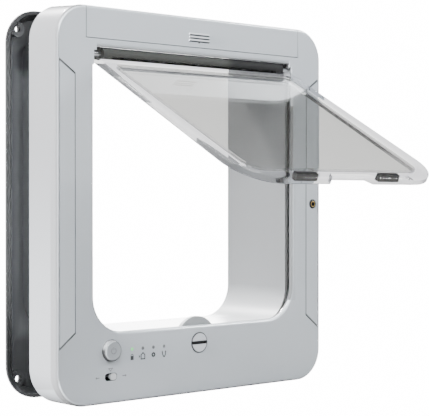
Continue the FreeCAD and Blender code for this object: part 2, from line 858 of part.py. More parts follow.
# Its screw bosses stop short of the door and have a recess outside for the screw heads
bosses = [cylinder(a, boss_face, b, boss_radius, outdoor_depth) for a, b in pattern]
holes = []
for across, along in pattern:
    holes.append(cylinder(across, outdoor_rim, along, boss_hole, outdoor_depth))
    holes.append(cylinder(across, boss_face + boss_floor, along, head_recess, outdoor_depth))
keep("outdoor_frame", cut(fuse(cut(outer, cut(inner, *bosses)), sleeve), passage, *holes))

# Battery cover: a bent plate over the top edge, with ribs for a fingertip
battery_cover = new_body("battery_cover")
profile = new_sketch(battery_cover, 0, "YZ_Plane")
cover_rise = top_flare * (cover_reach / housing_depth)
leg_end = front + cover_reach
polygon(profile, [
    (front, cover_seam + seam / 2),
    (front + cover_thick, cover_seam + seam / 2),
    (front + cover_thick, face_top - cover_thick),
    (leg_end, face_top + cover_rise - cover_thick),
    (leg_end, face_top + cover_rise),
    (front, face_top),
])
shell = battery_cover.newObject("PartDesign::Pad", "shell")
shell.Profile = profile
shell.SideType = "Symmetric"
shell.setExpression("Length", (cover_half * 2).text)
doc.recompute()
fillet(battery_cover, face_edge,
       lambda edge: in_plane(edge, front.value) and edge.BoundBox.ZMin > face_top.value - 0.1)
ribs = []
for i in range(rib_count):
    low = rib_lowest + rib_pitch * i
    ribs.append((rectangle, -rib_width / 2, rib_width / 2, low, low + rib_height))
pad(battery_cover, front - rib_proud, front + weld, *ribs)

# Battery holder: a trough under the cover, resting on the tunnel's roof
trough_radius = cell_radius + cell_gap
keep("battery_holder", cut(
    block(-holder_half, holder_half, holder_front, holder_back,
          tunnel_roof, tunnel_roof + holder_height),
    cylinder(-inner_end, cell_y, cell_z, trough_radius, inner_end * 2, "x"),
    block(-inner_end, inner_end, cell_y - trough_radius, cell_y + trough_radius,
          cell_z, cell_z + holder_height)))

# Four cells nose to tail, a contact plate at each end and one coil spring
nose = inner_end - contact_thick
cells = []
for i in range(cell_count):
    tail = nose - cell_length * (i + 1)
    barrel = cylinder(tail, cell_y, cell_z, cell_radius, cell_length - cell_nub, "x")
    nub = cylinder(tail + cell_length - cell_nub, cell_y, cell_z, cell_nub_radius, cell_nub, "x")
    cells.append(fuse(barrel, nub))
keep("battery_cells", group(*cells))

plates = []
for low in (-inner_end, nose):
    plates.append(block(low, low + contact_thick, cell_y - cell_radius * 0.7,
                        cell_y + cell_radius * 0.7, cell_z - cell_radius * 0.6,
                        cell_z + cell_radius))
coil_start = contact_thick - inner_end + spring_wire * 1.1
coil_end = nose - cell_length * cell_count - spring_wire * 1.1
coil = doc.addObject("Part::Helix", "coil")
coil.setExpression("Height", (coil_end - coil_start).text)
coil.setExpression("Pitch", ((coil_end - coil_start) / spring_turns).text)
coil.setExpression("Radius", spring_radius.text)
wire = doc.addObject("Part::Circle", "wire")
wire.Placement = FreeCAD.Placement(Vector(), FreeCAD.Rotation(Vector(1, 0, 0), 90))
wire.setExpression("Radius", spring_wire.text)
wire.setExpression("Placement.Base.x", spring_radius.text)
spring = doc.addObject("Part::Sweep", "spring")
spring.Sections = [wire]
spring.Spine = (coil, [])
spring.Solid = True
spring.Frenet = True
spring.Placement = FreeCAD.Placement(Vector(), turns["x"])
set_base(spring, coil_start, cell_y, cell_z)
keep("battery_contacts", group(*plates, spring))

# Aerial: a flat coil of wire round the tunnel, modelled as one ring
aerial = new_body("aerial_coil")
coil_gap = weld
pad(aerial, aerial_front, aerial_front + aerial_width,
    (rounded, tunnel_outside + coil_gap, tunnel_underside - coil_gap, tunnel_roof,
     tunnel_radius + tunnel_wall + coil_gap, tunnel_upper_radius + tunnel_wall + coil_gap),
    (rounded, tunnel_outside + coil_gap + aerial_thick,
     tunnel_underside - coil_gap - aerial_thick, tunnel_roof + aerial_thick,
     tunnel_radius + tunnel_wall + coil_gap + aerial_thick,
     tunnel_upper_radius + tunnel_wall + coil_gap + aerial_thick))

# Turned pieces: a profile of radius against depth, spun about its own axis

def turned(label, points, x, z):
    body = new_body(label)
    sketch = new_sketch(body, 0, "XY_Plane")
    polygon(sketch, [(as_size(a), as_size(b)) for a, b in points])
    spin = body.newObject("PartDesign::Revolution", "spin")
    spin.Profile = sketch
    spin.ReferenceAxis = (sketch, ["V_Axis"])
    spin.Angle = 360
    set_base(body, x, 0, z)
    doc.recompute()
    return body


nothing = as_size(0)
stem_end = board_front - tact_depth - button_travel - clearance
button_front = front - button_proud
flange_front = behind_wall + weld
button = turned("push_button", [
    (nothing, button_front),
    (button_radius, button_front),
    (button_radius, flange_front),
    (button_flange, flange_front),
    (button_flange, flange_front + 1),
    (stem_radius, flange_front + 1),
    (stem_radius, stem_end),
    (nothing, stem_end),
], button_place, control_height)
fillet(button, button_round, lambda edge: in_plane(edge, button_front.value))

sensor = turned("light_sensor", [
    (nothing, front - clearance),
    (sensor_radius, front - clearance),
    (sensor_radius, recess_back),
    (sensor_collar, recess_back),
    (sensor_collar, recess_back + sensor_collar_thick),
    (nothing, recess_back + sensor_collar_thick),
], sensor_place, sensor_height)
fillet(sensor, sensor_radius * 0.3, lambda edge: in_plane(edge, (front - clearance).value))

# Circuit board, its screws, and the two switches on it
keep("circuit_board", cut(
    block(board_left, board_right, board_front, board_front + board_thick,
          board_bottom, board_top),
    *[cylinder(a, board_front - 1, b, board_pilot + weld, board_thick + 2)
      for a, b in board_holes]))
screws = []
for across, along in board_holes:
    back = board_front + board_thick
    shank = cylinder(across, back - board_screw_length, along,
                     board_pilot - 0.02, board_screw_length)
    cap = cylinder(across, back, along, board_screw_head, board_screw_cap)
    screws.append(fuse(shank, cap))
keep("board_screws", group(*screws))
keep("button_switch", block(button_place - tact_half, button_place + tact_half,
                            board_front - tact_depth, board_front,
                            control_height - tact_half, control_height + tact_half))
keep("mode_switch", block(button_place - mode_half, button_place + mode_half,
                          board_front - slider_body_depth, board_front,
                          switch_height - mode_half_z, switch_height + mode_half_z))

# Slider of the mode switch, at the right end of its slot
slider = new_body("mode_slider")
slider_place = button_place + switch_travel / 2
pad(slider, front + clearance, behind_wall,
    (rounded, slider_half, switch_height - slider_height, switch_height + slider_height,
     slider_height * 0.8, slider_height * 0.8, slider_place))
pad(slider, behind_wall - weld, board_front - slider_body_depth - weld,
    (circle, slider_place, switch_height, slider_stem))

# Light guides from the board to the face: the first one lights
guides = []
for place in leds:
    guides.append(cylinder(place, front - weld, led_height, led_radius,
                           board_front - front + weld))
keep("led_lit", guides[0])
keep("led_others", group(*guides[1:]))

# Coin-slot knob with its axle, the lock wheel behind it and their bracket
knob_front = front - knob_proud
axle_end = bracket_back + 1
disc = cylinder(0, knob_front, control_height, knob_radius, behind_wall + weld - knob_front)
axle = cylinder(0, behind_wall, control_height, axle_radius, axle_end - behind_wall)
slot = block(-knob_radius * 1.1, knob_radius * 1.1, knob_front - 1,
             knob_front + knob_slot_depth, control_height - knob_slot / 2,
             control_height + knob_slot / 2)
keep("lock_knob", cut(fuse(disc, axle), slot))

wheel_front = behind_wall + wheel_gap
rim = cylinder(0, wheel_front, control_height, wheel_radius, wheel_thick)
hub = cylinder(0, wheel_front + wheel_thick, control_height, wheel_hub, wheel_thick)
lobe = combine("MultiCommon", [
    cylinder(0, wheel_front, control_height, lobe_radius, lobe_thick),
    block(-lobe_half, lobe_half, wheel_front, wheel_front + lobe_thick,
          control_height - lobe_radius - 1, control_height),
])
bore = cylinder(0, wheel_front - 1, control_height, axle_radius + 0.02, wheel_thick * 2 + 2)
keep("lock_wheel", cut(fuse(rim, hub, lobe), bore))

keep("lock_bracket", cut(
    block(-bracket_half, bracket_half, bracket_front, bracket_back,
          floor_inside, tunnel_underside - bracket_gap),
    cylinder(0, bracket_front - 1, control_height, axle_radius + slip, bracket_thick + 2)))

# Electric bolt: a flat blade on a round plunger, in a solenoid that stands on the floor
plunger_top = bolt_top - bolt_length
blade = block(bolt_place - bolt_blade / 2, bolt_place + bolt_blade / 2,
              bolt_y - bolt_thick / 2, bolt_y + bolt_thick / 2, plunger_top, bolt_top)
plunger = cylinder(bolt_place, bolt_y, plunger_top - plunger_length,
                   plunger_radius, plunger_length, "z")
keep("lock_bolt", fuse(blade, plunger))
keep("solenoid", cut(
    block(bolt_place - solenoid_width / 2, bolt_place + solenoid_width / 2,
          behind_wall, behind_wall + solenoid_depth,
          floor_inside, floor_inside + solenoid_height),
    cylinder(bolt_place, bolt_y, plunger_top - plunger_length - bore_floor,
             plunger_radius + slip, plunger_length + bore_margin, "z")))

# Catch magnets behind the sill, facing the flap's own magnets
catches = []
for across in mirrored_pairs(magnet_place):
    catches.append(block(across - catch_width / 2, across + catch_width / 2,
                         behind_wall, behind_wall + catch_thick + 1,
                         tunnel_underside - catch_depth / 2, tunnel_underside + catch_depth / 2))
keep("catch_magnets", group(*catches))

# Case screws: pan heads under the side covers
screws = []
for across, along in case_places:
    cap = cylinder(across, recess_face - case_screw_cap, along, case_screw_head, case_screw_cap)
    shank = cylinder(across, recess_face, along, case_screw_shank, case_screw_length)
    cross = [
        block(across - 1.6, across + 1.6, recess_face - 3, recess_face - 0.8,
              along - 0.4, along + 0.4),
        block(across - 0.4, across + 0.4, recess_face - 3, recess_face - 0.8,
              along - 1.6, along + 1.6),
    ]
    screws.append(cut(fuse(cap, shank), *cross))
keep("case_screws", group(*screws))

# Flap: drawn hanging straight down with its hinge line at the origin, then swung open

def swing(item):
    item.Placement = FreeCAD.Placement(Vector(), FreeCAD.Rotation(Vector(1, 0, 0), 30))
    set_base(item, 0, hinge_y, hinge_z)
    item.setExpression("Placement.Rotation.Angle", "-" + flap_angle.text)


def tapered(sketch, half_top, half_bottom, top, bottom):
    polygon(sketch, [(-half_bottom, -bottom), (half_bottom, -bottom),
                     (half_top, -top), (-half_top, -top)])


def corners_near(level, reach):
    """Chooses the edges along the depth whose height is within reach of a level."""
    return lambda edge: along_depth(edge) and abs(edge.BoundBox.Center.z - level) < reach


flap_near = -flap_forward
flap_far = flap_thick - flap_forward
flap_frame = new_body("flap_frame")
pad(flap_frame, flap_near, flap_far,
    (tapered, flap_half_top, flap_half_bottom, flap_shoulder, flap_length))
fillet(flap_frame, flap_corner, corners_near(-flap_length.value, 1))
fillet(flap_frame, flap_edge,
       lambda edge: in_plane(edge, flap_near.value) or in_plane(edge, flap_far.value))
pocket(flap_frame, flap_near, flap_far,
       (tapered, window_half_top, window_half_bottom, window_top, window_bottom))
fillet(flap_frame, window_corner, corners_near(-window_bottom.value, 1))
fillet(flap_frame, window_upper_corner, corners_near(-window_top.value, 1))
sink_floor = flap_near + panel_sink + panel_thick
pocket(flap_frame, flap_near, sink_floor,
       (tapered, window_half_top + ledge, window_half_bottom + ledge,
        window_top - ledge, window_bottom + ledge))
fillet(flap_frame, window_corner + ledge, corners_near(-(window_bottom + ledge).value, 1))
fillet(flap_frame, window_upper_corner + ledge, corners_near(-(window_top - ledge).value, 1))
pad(flap_frame, flap_near, flap_near + tongue_thick,
    (rectangle, -tongue_half, tongue_half, -flap_shoulder - weld, tongue_length - flap_shoulder))

# Notch in the bottom edge, seats for the magnets, keeper for the bolt
low = -flap_length
pocket(flap_frame, flap_near, flap_far,
       (polygon, [(-notch_half - notch_shoulder, low - 1), (notch_half + notch_shoulder, low - 1),
                  (notch_half + notch_shoulder, low), (notch_half, low + notch_depth),
                  (-notch_half, low + notch_depth), (-notch_half - notch_shoulder, low)]))
seat_half = magnet_width / 2 + panel_gap
seats = []
for across in mirrored_pairs(magnet_place):
    seats.append((rectangle, across - seat_half, across + seat_half,
                  low + magnet_rise, low + magnet_rise + magnet_height))
pocket(flap_frame, flap_near, flap_near + magnet_seat, *seats)
keeper_y = flap_near + keeper_near + flap_forward
pocket(flap_frame, keeper_y, keeper_y + keeper_thick,
       (rectangle, bolt_place - keeper_width / 2, bolt_place + keeper_width / 2,
        low - 1, low + keeper_depth))
swing(flap_frame)

# Smoked panel in the frame's rebate
panel = new_body("flap_panel")
lip = ledge - panel_gap
pad(panel, flap_near + panel_sink, sink_floor,
    (tapered, window_half_top + lip, window_half_bottom + lip,
     window_top - lip, window_bottom + lip))
fillet(panel, window_corner + lip, corners_near(-(window_bottom + lip).value, 1))
fillet(panel, window_upper_corner + lip, corners_near(-(window_top - lip).value, 1))
swing(panel)

# Magnets, and the dark rail that grips the frame's tongue
magnets = []
for across in mirrored_pairs(magnet_place):
    magnets.append(block(across - magnet_width / 2, across + magnet_width / 2,
                         flap_near + magnet_seat - magnet_thick, flap_near + magnet_seat,
                         low + magnet_rise + panel_gap,
                         low + magnet_rise + magnet_height - panel_gap))
swing(keep("flap_magnets", group(*magnets)))

tools = [block(-rail_slot_half, rail_slot_half, flap_near - panel_gap,
               flap_near + tongue_thick + panel_gap, -rail_radius - 1,
               tongue_length - flap_shoulder + panel_gap)]
for sign in (1, -1):
    ends = sorted(((rail_half * sign).value, ((rail_half - rail_cutout) * sign).value))
    tools.append(block(ends[0] - 0.01, ends[1] + 0.01, -rail_radius, rail_radius, -rail_radius, 0))
    start = pin_inner if sign == 1 else -pin_outer
    tools.append(cylinder(start, 0, 0, pin_radius + 0.02, pin_outer - pin_inner, "x"))
swing(keep("hinge_rail", cut(
    cylinder(-rail_half, 0, 0, rail_radius, rail_half * 2, "x"), *tools)))

pins = []
for start in (pin_inner, -pin_outer):
    pins.append(cylinder(start, 0, 0, pin_radius, pin_outer - pin_inner, "x"))
swing(keep("hinge_pins", group(*pins)))

# Bearings for the pins, fixed to the back of the face
bearings = []
bearing_back = tunnel_front - weld
for low_x, high_x in ((bearing_inner, bearing_outer), (-bearing_outer, -bearing_inner)):
    bearings.append(cut(
        block(low_x, high_x, behind_wall, bearing_back,
              hinge_z - bearing_half, hinge_z + bearing_half),
        cylinder(low_x - 1, hinge_y, hinge_z, pin_radius + slip,
                 bearing_outer - bearing_inner + 2, "x")))
keep("hinge_bearings", group(*bearings))

# Every object must have been worked out, and every piece must be sound, before export
doc.recompute()
for item in doc.Objects:
    if "Invalid" in item.State or "Error" in item.State:
        raise RuntimeError("not worked out: " + item.Name + " " + item.Label)
os.makedirs("parts", exist_ok=True)
for label, item in pieces.items():
    shape = item.Shape
    if shape.isNull() or not shape.isValid():
        raise RuntimeError("unsound shape: " + label)
    shape.exportStep("parts/" + label + ".step")
    print(label, len(shape.Solids), round(shape.Volume))
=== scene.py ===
import math
import bpy
import numpy as np
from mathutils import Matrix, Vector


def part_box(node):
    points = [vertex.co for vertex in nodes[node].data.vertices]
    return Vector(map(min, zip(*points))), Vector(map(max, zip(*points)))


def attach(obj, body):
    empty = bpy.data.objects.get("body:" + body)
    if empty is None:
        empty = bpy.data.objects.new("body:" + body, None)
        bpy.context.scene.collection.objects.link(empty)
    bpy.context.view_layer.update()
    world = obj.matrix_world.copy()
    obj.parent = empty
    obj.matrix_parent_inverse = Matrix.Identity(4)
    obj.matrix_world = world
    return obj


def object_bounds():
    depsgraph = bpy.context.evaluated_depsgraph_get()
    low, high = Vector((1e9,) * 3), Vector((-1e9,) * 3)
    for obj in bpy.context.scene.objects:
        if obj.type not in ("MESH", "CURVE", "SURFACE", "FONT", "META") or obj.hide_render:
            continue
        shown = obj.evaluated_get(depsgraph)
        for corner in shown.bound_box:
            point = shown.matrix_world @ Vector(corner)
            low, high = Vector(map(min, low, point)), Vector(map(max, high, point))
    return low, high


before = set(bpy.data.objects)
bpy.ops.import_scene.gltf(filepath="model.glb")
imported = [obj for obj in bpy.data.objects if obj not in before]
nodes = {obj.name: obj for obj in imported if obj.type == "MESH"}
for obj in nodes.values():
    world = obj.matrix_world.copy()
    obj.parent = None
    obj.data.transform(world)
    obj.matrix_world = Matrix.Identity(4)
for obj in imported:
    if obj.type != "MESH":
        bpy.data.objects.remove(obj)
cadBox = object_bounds()
scene = bpy.context.scene
mm = 0.001  # the frame is in metres
print("frame loaded")

# Camera at the photograph's place: metres and degrees, the focal length and the picture's
# width in pixels, and the sensor's width in millimetres
cameraSetup = {
    "place": (-0.6040, -0.7334, 0.00415),
    "turn": -41.187,
    "pitch": -0.435,
    "focalLength": 1327.31,
    "pictureWidth": 429,
    "sensorWidth": 36,
}
camera = bpy.data.cameras.new("camera")
camera.sensor_fit = "HORIZONTAL"
camera.sensor_width = cameraSetup["sensorWidth"]
camera.lens = (cameraSetup["focalLength"] / cameraSetup["pictureWidth"]
               * cameraSetup["sensorWidth"])
cameraObject = bpy.data.objects.new("camera", camera)
cameraObject.location = cameraSetup["place"]
cameraObject.rotation_euler = (
    math.radians(90 + cameraSetup["pitch"]), 0, math.radians(cameraSetup["turn"]))
scene.collection.objects.link(cameraObject)
scene.camera = cameraObject
print("camera placed")


# Node tree helpers
def addNode(tree, kind, **settings):
    node = tree.nodes.new(kind)
    for name, value in settings.items():
        setattr(node, name, value)
    return node


# A socket takes either another node's output or a fixed value
def feed(tree, socket, value):
    if isinstance(value, bpy.types.NodeSocket):
        tree.links.new(value, socket)
    else:
        socket.default_value = value


def mathNode(tree, operation, *values, clamp=False):
    node = addNode(tree, "ShaderNodeMath", operation=operation, use_clamp=clamp)
    for socket, value in zip(node.inputs, values):
        feed(tree, socket, value)
    return node.outputs[0]


# Eases from one value to another while the given value goes from low to high
def mapRange(tree, value, low, high, toLow=0.0, toHigh=1.0):
    node = addNode(tree, "ShaderNodeMapRange", interpolation_type="SMOOTHSTEP")
    for socket, number in zip(node.inputs, (value, low, high, toLow, toHigh)):
        feed(tree, socket, number)
    return node.outputs[0]


# A Mix node has its float sockets at places 2 and 3, and its colours at 6 and 7
def mixFloat(tree, factor, a, b):
    node = addNode(tree, "ShaderNodeMix", data_type="FLOAT")
    feed(tree, node.inputs[0], factor)
    feed(tree, node.inputs[2], a)
    feed(tree, node.inputs[3], b)
    return node.outputs[0]


def mixColour(tree, factor, a, b):
    node = addNode(tree, "ShaderNodeMix", data_type="RGBA", blend_type="MIX")
    feed(tree, node.inputs[0], factor)
    feed(tree, node.inputs[6], a)
    feed(tree, node.inputs[7], b)
    return node.outputs[2]


# Empty shader group with float or colour sockets, given as (name, kind, value)
def newGroup(name, inputs, outputs):
    tree = bpy.data.node_groups.new(name, "ShaderNodeTree")
    kinds = {"float": "NodeSocketFloat", "colour": "NodeSocketColor"}
    for label, kind, value in inputs:
        socket = tree.interface.new_socket(label, in_out="INPUT", socket_type=kinds[kind])
        socket.default_value = value
    for label, kind in outputs:
        tree.interface.new_socket(label, in_out="OUTPUT", socket_type=kinds[kind])
    start = tree.nodes.new("NodeGroupInput")
    end = tree.nodes.new("NodeGroupOutput")
    return tree, start.outputs, end.inputs


def placeGroup(tree, group, **values):
    node = addNode(tree, "ShaderNodeGroup", node_tree=group)
    for name, value in values.items():
        feed(tree, node.inputs[name], value)
    return node


# Separate X, Y and Z of the shaded point on its own piece
def splitPlace(tree):
    split = addNode(tree, "ShaderNodeSeparateXYZ")
    feed(tree, split.inputs[0], addNode(tree, "ShaderNodeTexCoord").outputs["Object"])
    return split.outputs


# Colour times a number
def scaleColour(tree, colour, amount):
    node = addNode(tree, "ShaderNodeVectorMath", operation="SCALE")
    feed(tree, node.inputs[0], colour)
    feed(tree, node.inputs["Scale"], amount)
    return node.outputs[0]


# Noise of a given scale at a place, about 0.5
def noiseAt(tree, place, scale, detail):
    noise = addNode(tree, "ShaderNodeTexNoise")
    feed(tree, noise.inputs["Vector"], place)
    feed(tree, noise.inputs["Scale"], scale)
    noise.inputs["Detail"].default_value = detail
    return noise.outputs[0]


# Shared effects, each one shader group

# Moulded plastic: broad tone drift, fine grain, and a height for the bump
def buildMouldedSkin():
    tree, given, result = newGroup(
        "mouldedSkin",
        [("Colour", "colour", (0.8, 0.8, 0.8, 1)), ("Drift", "float", 0.03),
         ("DriftScale", "float", 9.0), ("GrainScale", "float", 1400.0),
         ("Roughness", "float", 0.4), ("RoughSpread", "float", 0.06)],
        [("Colour", "colour"), ("Roughness", "float"), ("Height", "float")])
    grainShare = 0.5
    place = addNode(tree, "ShaderNodeTexCoord").outputs["Object"]
    broad = noiseAt(tree, place, given["DriftScale"], detail=3)
    fine = noiseAt(tree, place, given["GrainScale"], detail=2)
    drift = mathNode(tree, "SUBTRACT", broad, 0.5)
    grain = mathNode(tree, "SUBTRACT", fine, 0.5)
    both = mathNode(tree, "MULTIPLY_ADD", grain, grainShare, drift)
    tone = mathNode(tree, "MULTIPLY_ADD", both, given["Drift"], 1.0)
    feed(tree, result["Colour"], scaleColour(tree, given["Colour"], tone))
    rough = mathNode(tree, "MULTIPLY_ADD", both, given["RoughSpread"], given["Roughness"])
    feed(tree, result["Roughness"], mathNode(tree, "MAXIMUM", rough, 0.0))
    feed(tree, result["Height"], fine)
    return tree


# A mask that goes from 0 to 1 between two places along a direction
def buildFadeAlong():
    tree, given, result = newGroup(
        "fadeAlong",
        [("X", "float", 0.0), ("Y", "float", 0.0), ("Z", "float", 1.0),
         ("From", "float", 0.0), ("To", "float", 1.0)],
        [("Mask", "float")])
    place = addNode(tree, "ShaderNodeTexCoord").outputs["Object"]
    axis = addNode(tree, "ShaderNodeCombineXYZ")
    for name in ("X", "Y", "Z"):
        feed(tree, axis.inputs[name], given[name])
    along = addNode(tree, "ShaderNodeVectorMath", operation="DOT_PRODUCT")
    feed(tree, along.inputs[0], place)
    feed(tree, along.inputs[1], axis.outputs[0])
    feed(tree, result["Mask"],
         mapRange(tree, along.outputs["Value"], given["From"], given["To"]))
    return tree


# Fine lines along X: noise stretched in that direction, with a height for the bump
def buildBrushedMetal():
    tree, given, result = newGroup(
        "brushedMetal",
        [("Colour", "colour", (0.6, 0.6, 0.6, 1)), ("Roughness", "float", 0.3),
         ("LineScale", "float", 900.0)],
        [("Colour", "colour"), ("Roughness", "float"), ("Height", "float")])
    stretch = addNode(tree, "ShaderNodeMapping")
    stretch.inputs["Scale"].default_value = (0.06, 1, 1)
    feed(tree, stretch.inputs["Vector"],
         addNode(tree, "ShaderNodeTexCoord").outputs["Object"])
    lines = noiseAt(tree, stretch.outputs[0], given["LineScale"], detail=4)
    tone = mapRange(tree, lines, low=0.3, high=0.7, toLow=0.86, toHigh=1.06)
    feed(tree, result["Colour"], scaleColour(tree, given["Colour"], tone))
    roughShare = 0.12
    feed(tree, result["Roughness"],
         mathNode(tree, "MULTIPLY_ADD", lines, roughShare, given["Roughness"]))
    feed(tree, result["Height"], lines)
    return tree


# Turns of wire side by side along Y: a profile repeated at the wire's pitch, with painted shade
# between turns
def buildWinding():
    tree, given, result = newGroup(
        "winding",
        [("Colour", "colour", (0.6, 0.3, 0.1, 1)), ("Pitch", "float", 0.0003)],
        [("Colour", "colour"), ("Height", "float")])
    turns = mathNode(tree, "DIVIDE", splitPlace(tree)["Y"], given["Pitch"])
    wave = mathNode(tree, "PINGPONG", turns, 0.5)
    tone = mapRange(tree, wave, low=0.0, high=0.35, toLow=0.45, toHigh=1.0)
    feed(tree, result["Colour"], scaleColour(tree, given["Colour"], tone))
    feed(tree, result["Height"], wave)
    return tree


# 1 inside an upright box given by its middle and half sizes, and 0.5 on its sides
def buildBoxMask():
    tree, given, result = newGroup(
        "boxMask",
        [("X", "float", 0.0), ("Y", "float", 0.0), ("Z", "float", 0.0), ("HalfX", "float", 9.0),
         ("HalfY", "float", 9.0), ("HalfZ", "float", 9.0), ("Soft", "float", 0.0002)],
        [("Mask", "float")])
    place = splitPlace(tree)
    mask = None
    for axis in "XYZ":
        away = mathNode(tree, "ABSOLUTE",
                        mathNode(tree, "SUBTRACT", place[axis], given[axis]))
        past = mathNode(tree, "SUBTRACT", away, given["Half" + axis])
        part = mathNode(tree, "SUBTRACT", 0.5, mathNode(tree, "DIVIDE", past, given["Soft"]),
                        clamp=True)
        mask = part if mask is None else mathNode(tree, "MINIMUM", mask, part)
    feed(tree, result["Mask"], mask)
    return tree


# 1 beyond a radius about an axis along the depth; Lower keeps only the lower left side, for a
# painted shadow
def buildRingMask():
    tree, given, result = newGroup(
        "ringMask",
        [("X", "float", 0.0), ("Z", "float", 0.0), ("Radius", "float", 0.01),
         ("Soft", "float", 0.0002)],
        [("Mask", "float"), ("Lower", "float")])
    place = splitPlace(tree)
    x = mathNode(tree, "SUBTRACT", place["X"], given["X"])
    z = mathNode(tree, "SUBTRACT", place["Z"], given["Z"])
    away = mathNode(tree, "SQRT", mathNode(tree, "MULTIPLY_ADD", x, x,
                                           mathNode(tree, "MULTIPLY", z, z)))
    past = mathNode(tree, "SUBTRACT", away, given["Radius"])
    mask = mathNode(tree, "ADD", 0.5, mathNode(tree, "DIVIDE", past, given["Soft"]), clamp=True)
    feed(tree, result["Mask"], mask)
    leftShare = -0.4
    lower = mathNode(tree, "MULTIPLY_ADD", x, leftShare, mathNode(tree, "MULTIPLY", z, -1.0))
    below = mapRange(tree, mathNode(tree, "DIVIDE", lower, away), low=-0.1, high=0.4)
    feed(tree, result["Lower"], mathNode(tree, "MULTIPLY", mask, below))
    return tree


# Border of a mitred strip: 1 near its inner side and its two slanted ends
def buildStripEdge():
    tree, given, result = newGroup(
        "stripEdge",
        [("Inner", "float", 0.105), ("Top", "float", 0.085), ("TopSlope", "float", 0.7),
         ("Bottom", "float", -0.084), ("BottomSlope", "float", -0.8),
         ("SideWidth", "float", 0.0008), ("SlantWidth", "float", 0.001)],
        [("Mask", "float")])
    place = splitPlace(tree)
    across = mathNode(tree, "SUBTRACT", mathNode(tree, "ABSOLUTE", place["X"]),
                      given["Inner"])
    upper = mathNode(tree, "MULTIPLY_ADD", across, given["TopSlope"], given["Top"])
    lower = mathNode(tree, "MULTIPLY_ADD", across, given["BottomSlope"], given["Bottom"])
    slant = mathNode(tree, "MINIMUM",
                     mathNode(tree, "SUBTRACT", upper, place["Z"]),
                     mathNode(tree, "SUBTRACT", place["Z"], lower))
    side = mathNode(tree, "DIVIDE", across, given["SideWidth"])
    ends = mathNode(tree, "DIVIDE", slant, given["SlantWidth"])
    near = mathNode(tree, "MINIMUM", side, ends)
    feed(tree, result["Mask"], mapRange(tree, near, low=0.85, high=1.1, toLow=1.0, toHigh=0.0))
    return tree


# Lines at an even pitch up from a start, within a half width about the middle
def buildRibLines():
    tree, given, result = newGroup(
        "ribLines",
        [("Start", "float", 0.11), ("Pitch", "float", 0.0022), ("Count", "float", 3.0),
         ("HalfLine", "float", 0.0004), ("HalfWidth", "float", 0.009)],
        [("Mask", "float")])
    place = splitPlace(tree)
    step = mathNode(tree, "DIVIDE", mathNode(tree, "SUBTRACT", place["Z"],
                                             given["Start"]), given["Pitch"])
    last = mathNode(tree, "SUBTRACT", given["Count"], 1.0)
    rounded = mathNode(tree, "MAXIMUM", mathNode(tree, "ROUND", step), 0.0)
    nearest = mathNode(tree, "MINIMUM", rounded, last)
    gap = mathNode(tree, "ABSOLUTE", mathNode(tree, "SUBTRACT", step, nearest))
    away = mathNode(tree, "MULTIPLY", gap, given["Pitch"])
    line = mathNode(tree, "SUBTRACT", 1.5, mathNode(tree, "DIVIDE", away, given["HalfLine"]),
                    clamp=True)
    beside = mathNode(tree, "LESS_THAN", mathNode(tree, "ABSOLUTE", place["X"]),
                      given["HalfWidth"])
    feed(tree, result["Mask"], mathNode(tree, "MULTIPLY", line, beside))
    return tree


mouldedSkin = buildMouldedSkin()
boxMask = buildBoxMask()
ringMask = buildRingMask()
stripEdge = buildStripEdge()
ribLines = buildRibLines()
fadeAlong = buildFadeAlong()
brushedMetal = buildBrushedMetal()
winding = buildWinding()
print("shared effects built")


# Materials, each with its own dictionary of what can be changed
def newMaterial(name):
    material = bpy.data.materials.new(name)
    material.use_nodes = True
    tree = material.node_tree
    return material, tree, tree.nodes["Principled BSDF"]


# The shader's own sockets that take fixed values
socketNames = {
    "roughness": "Roughness", "metallic": "Metallic", "transmission": "Transmission Weight",
    "ior": "IOR", "coat": "Coat Weight", "coatRoughness": "Coat Roughness",
    "specular": "Specular IOR Level", "glow": "Emission Color",
    "glowStrength": "Emission Strength",
}


def setSockets(shader, **values):
    for name, value in values.items():
        shader.inputs[socketNames[name]].default_value = value


# The normal follows a height from 0 to 1, which stands for a distance in metres
def addBump(tree, shader, height, look):
    bump = addNode(tree, "ShaderNodeBump")
    bump.inputs["Strength"].default_value = look["bump"]
    bump.inputs["Distance"].default_value = look["bumpDistance"]
    feed(tree, bump.inputs["Height"], height)
    feed(tree, shader.inputs["Normal"], bump.outputs[0])


plasticDefaults = {
    "drift": 0.04, "driftScale": 9.0, "grainScale": 1400.0, "roughSpread": 0.08,
    "coat": 0.0, "coatRoughness": 0.1, "specular": 0.5, "bump": 0.12,
    "bumpDistance": 0.04 * mm, "shades": [],
}


# Moulded plastic; other colours cover it where a shared mask says so
def plasticMaterial(name, changes):
    look = {**plasticDefaults, **changes}
    material, tree, shader = newMaterial(name)
    colour = (*look["colour"], 1)
    for group, values, output, amount, other in look["shades"]:
        mask = placeGroup(tree, group, **values).outputs[output]
        if amount < 1:
            mask = mathNode(tree, "MULTIPLY", mask, amount)
        colour = mixColour(tree, mask, colour, (*other, 1))
    skin = placeGroup(tree, mouldedSkin, Colour=colour, Drift=look["drift"],
                      DriftScale=look["driftScale"], GrainScale=look["grainScale"],
                      Roughness=look["roughness"], RoughSpread=look["roughSpread"])
    feed(tree, shader.inputs["Base Color"], skin.outputs["Colour"])
    feed(tree, shader.inputs["Roughness"], skin.outputs["Roughness"])
    setSockets(shader, coat=look["coat"], coatRoughness=look["coatRoughness"],
               specular=look["specular"])
    addBump(tree, shader, skin.outputs["Height"], look)
    if "glow" in look:
        setSockets(shader, glow=(*look["glow"], 1), glowStrength=look["glowStrength"])
    return material


clearDefaults = {
    "drift": 0.01, "roughness": 0.01, "roughSpread": 0.01, "ior": 1.04,
    "coatRoughness": 0.02, "bumpDistance": 0.1 * mm,
}


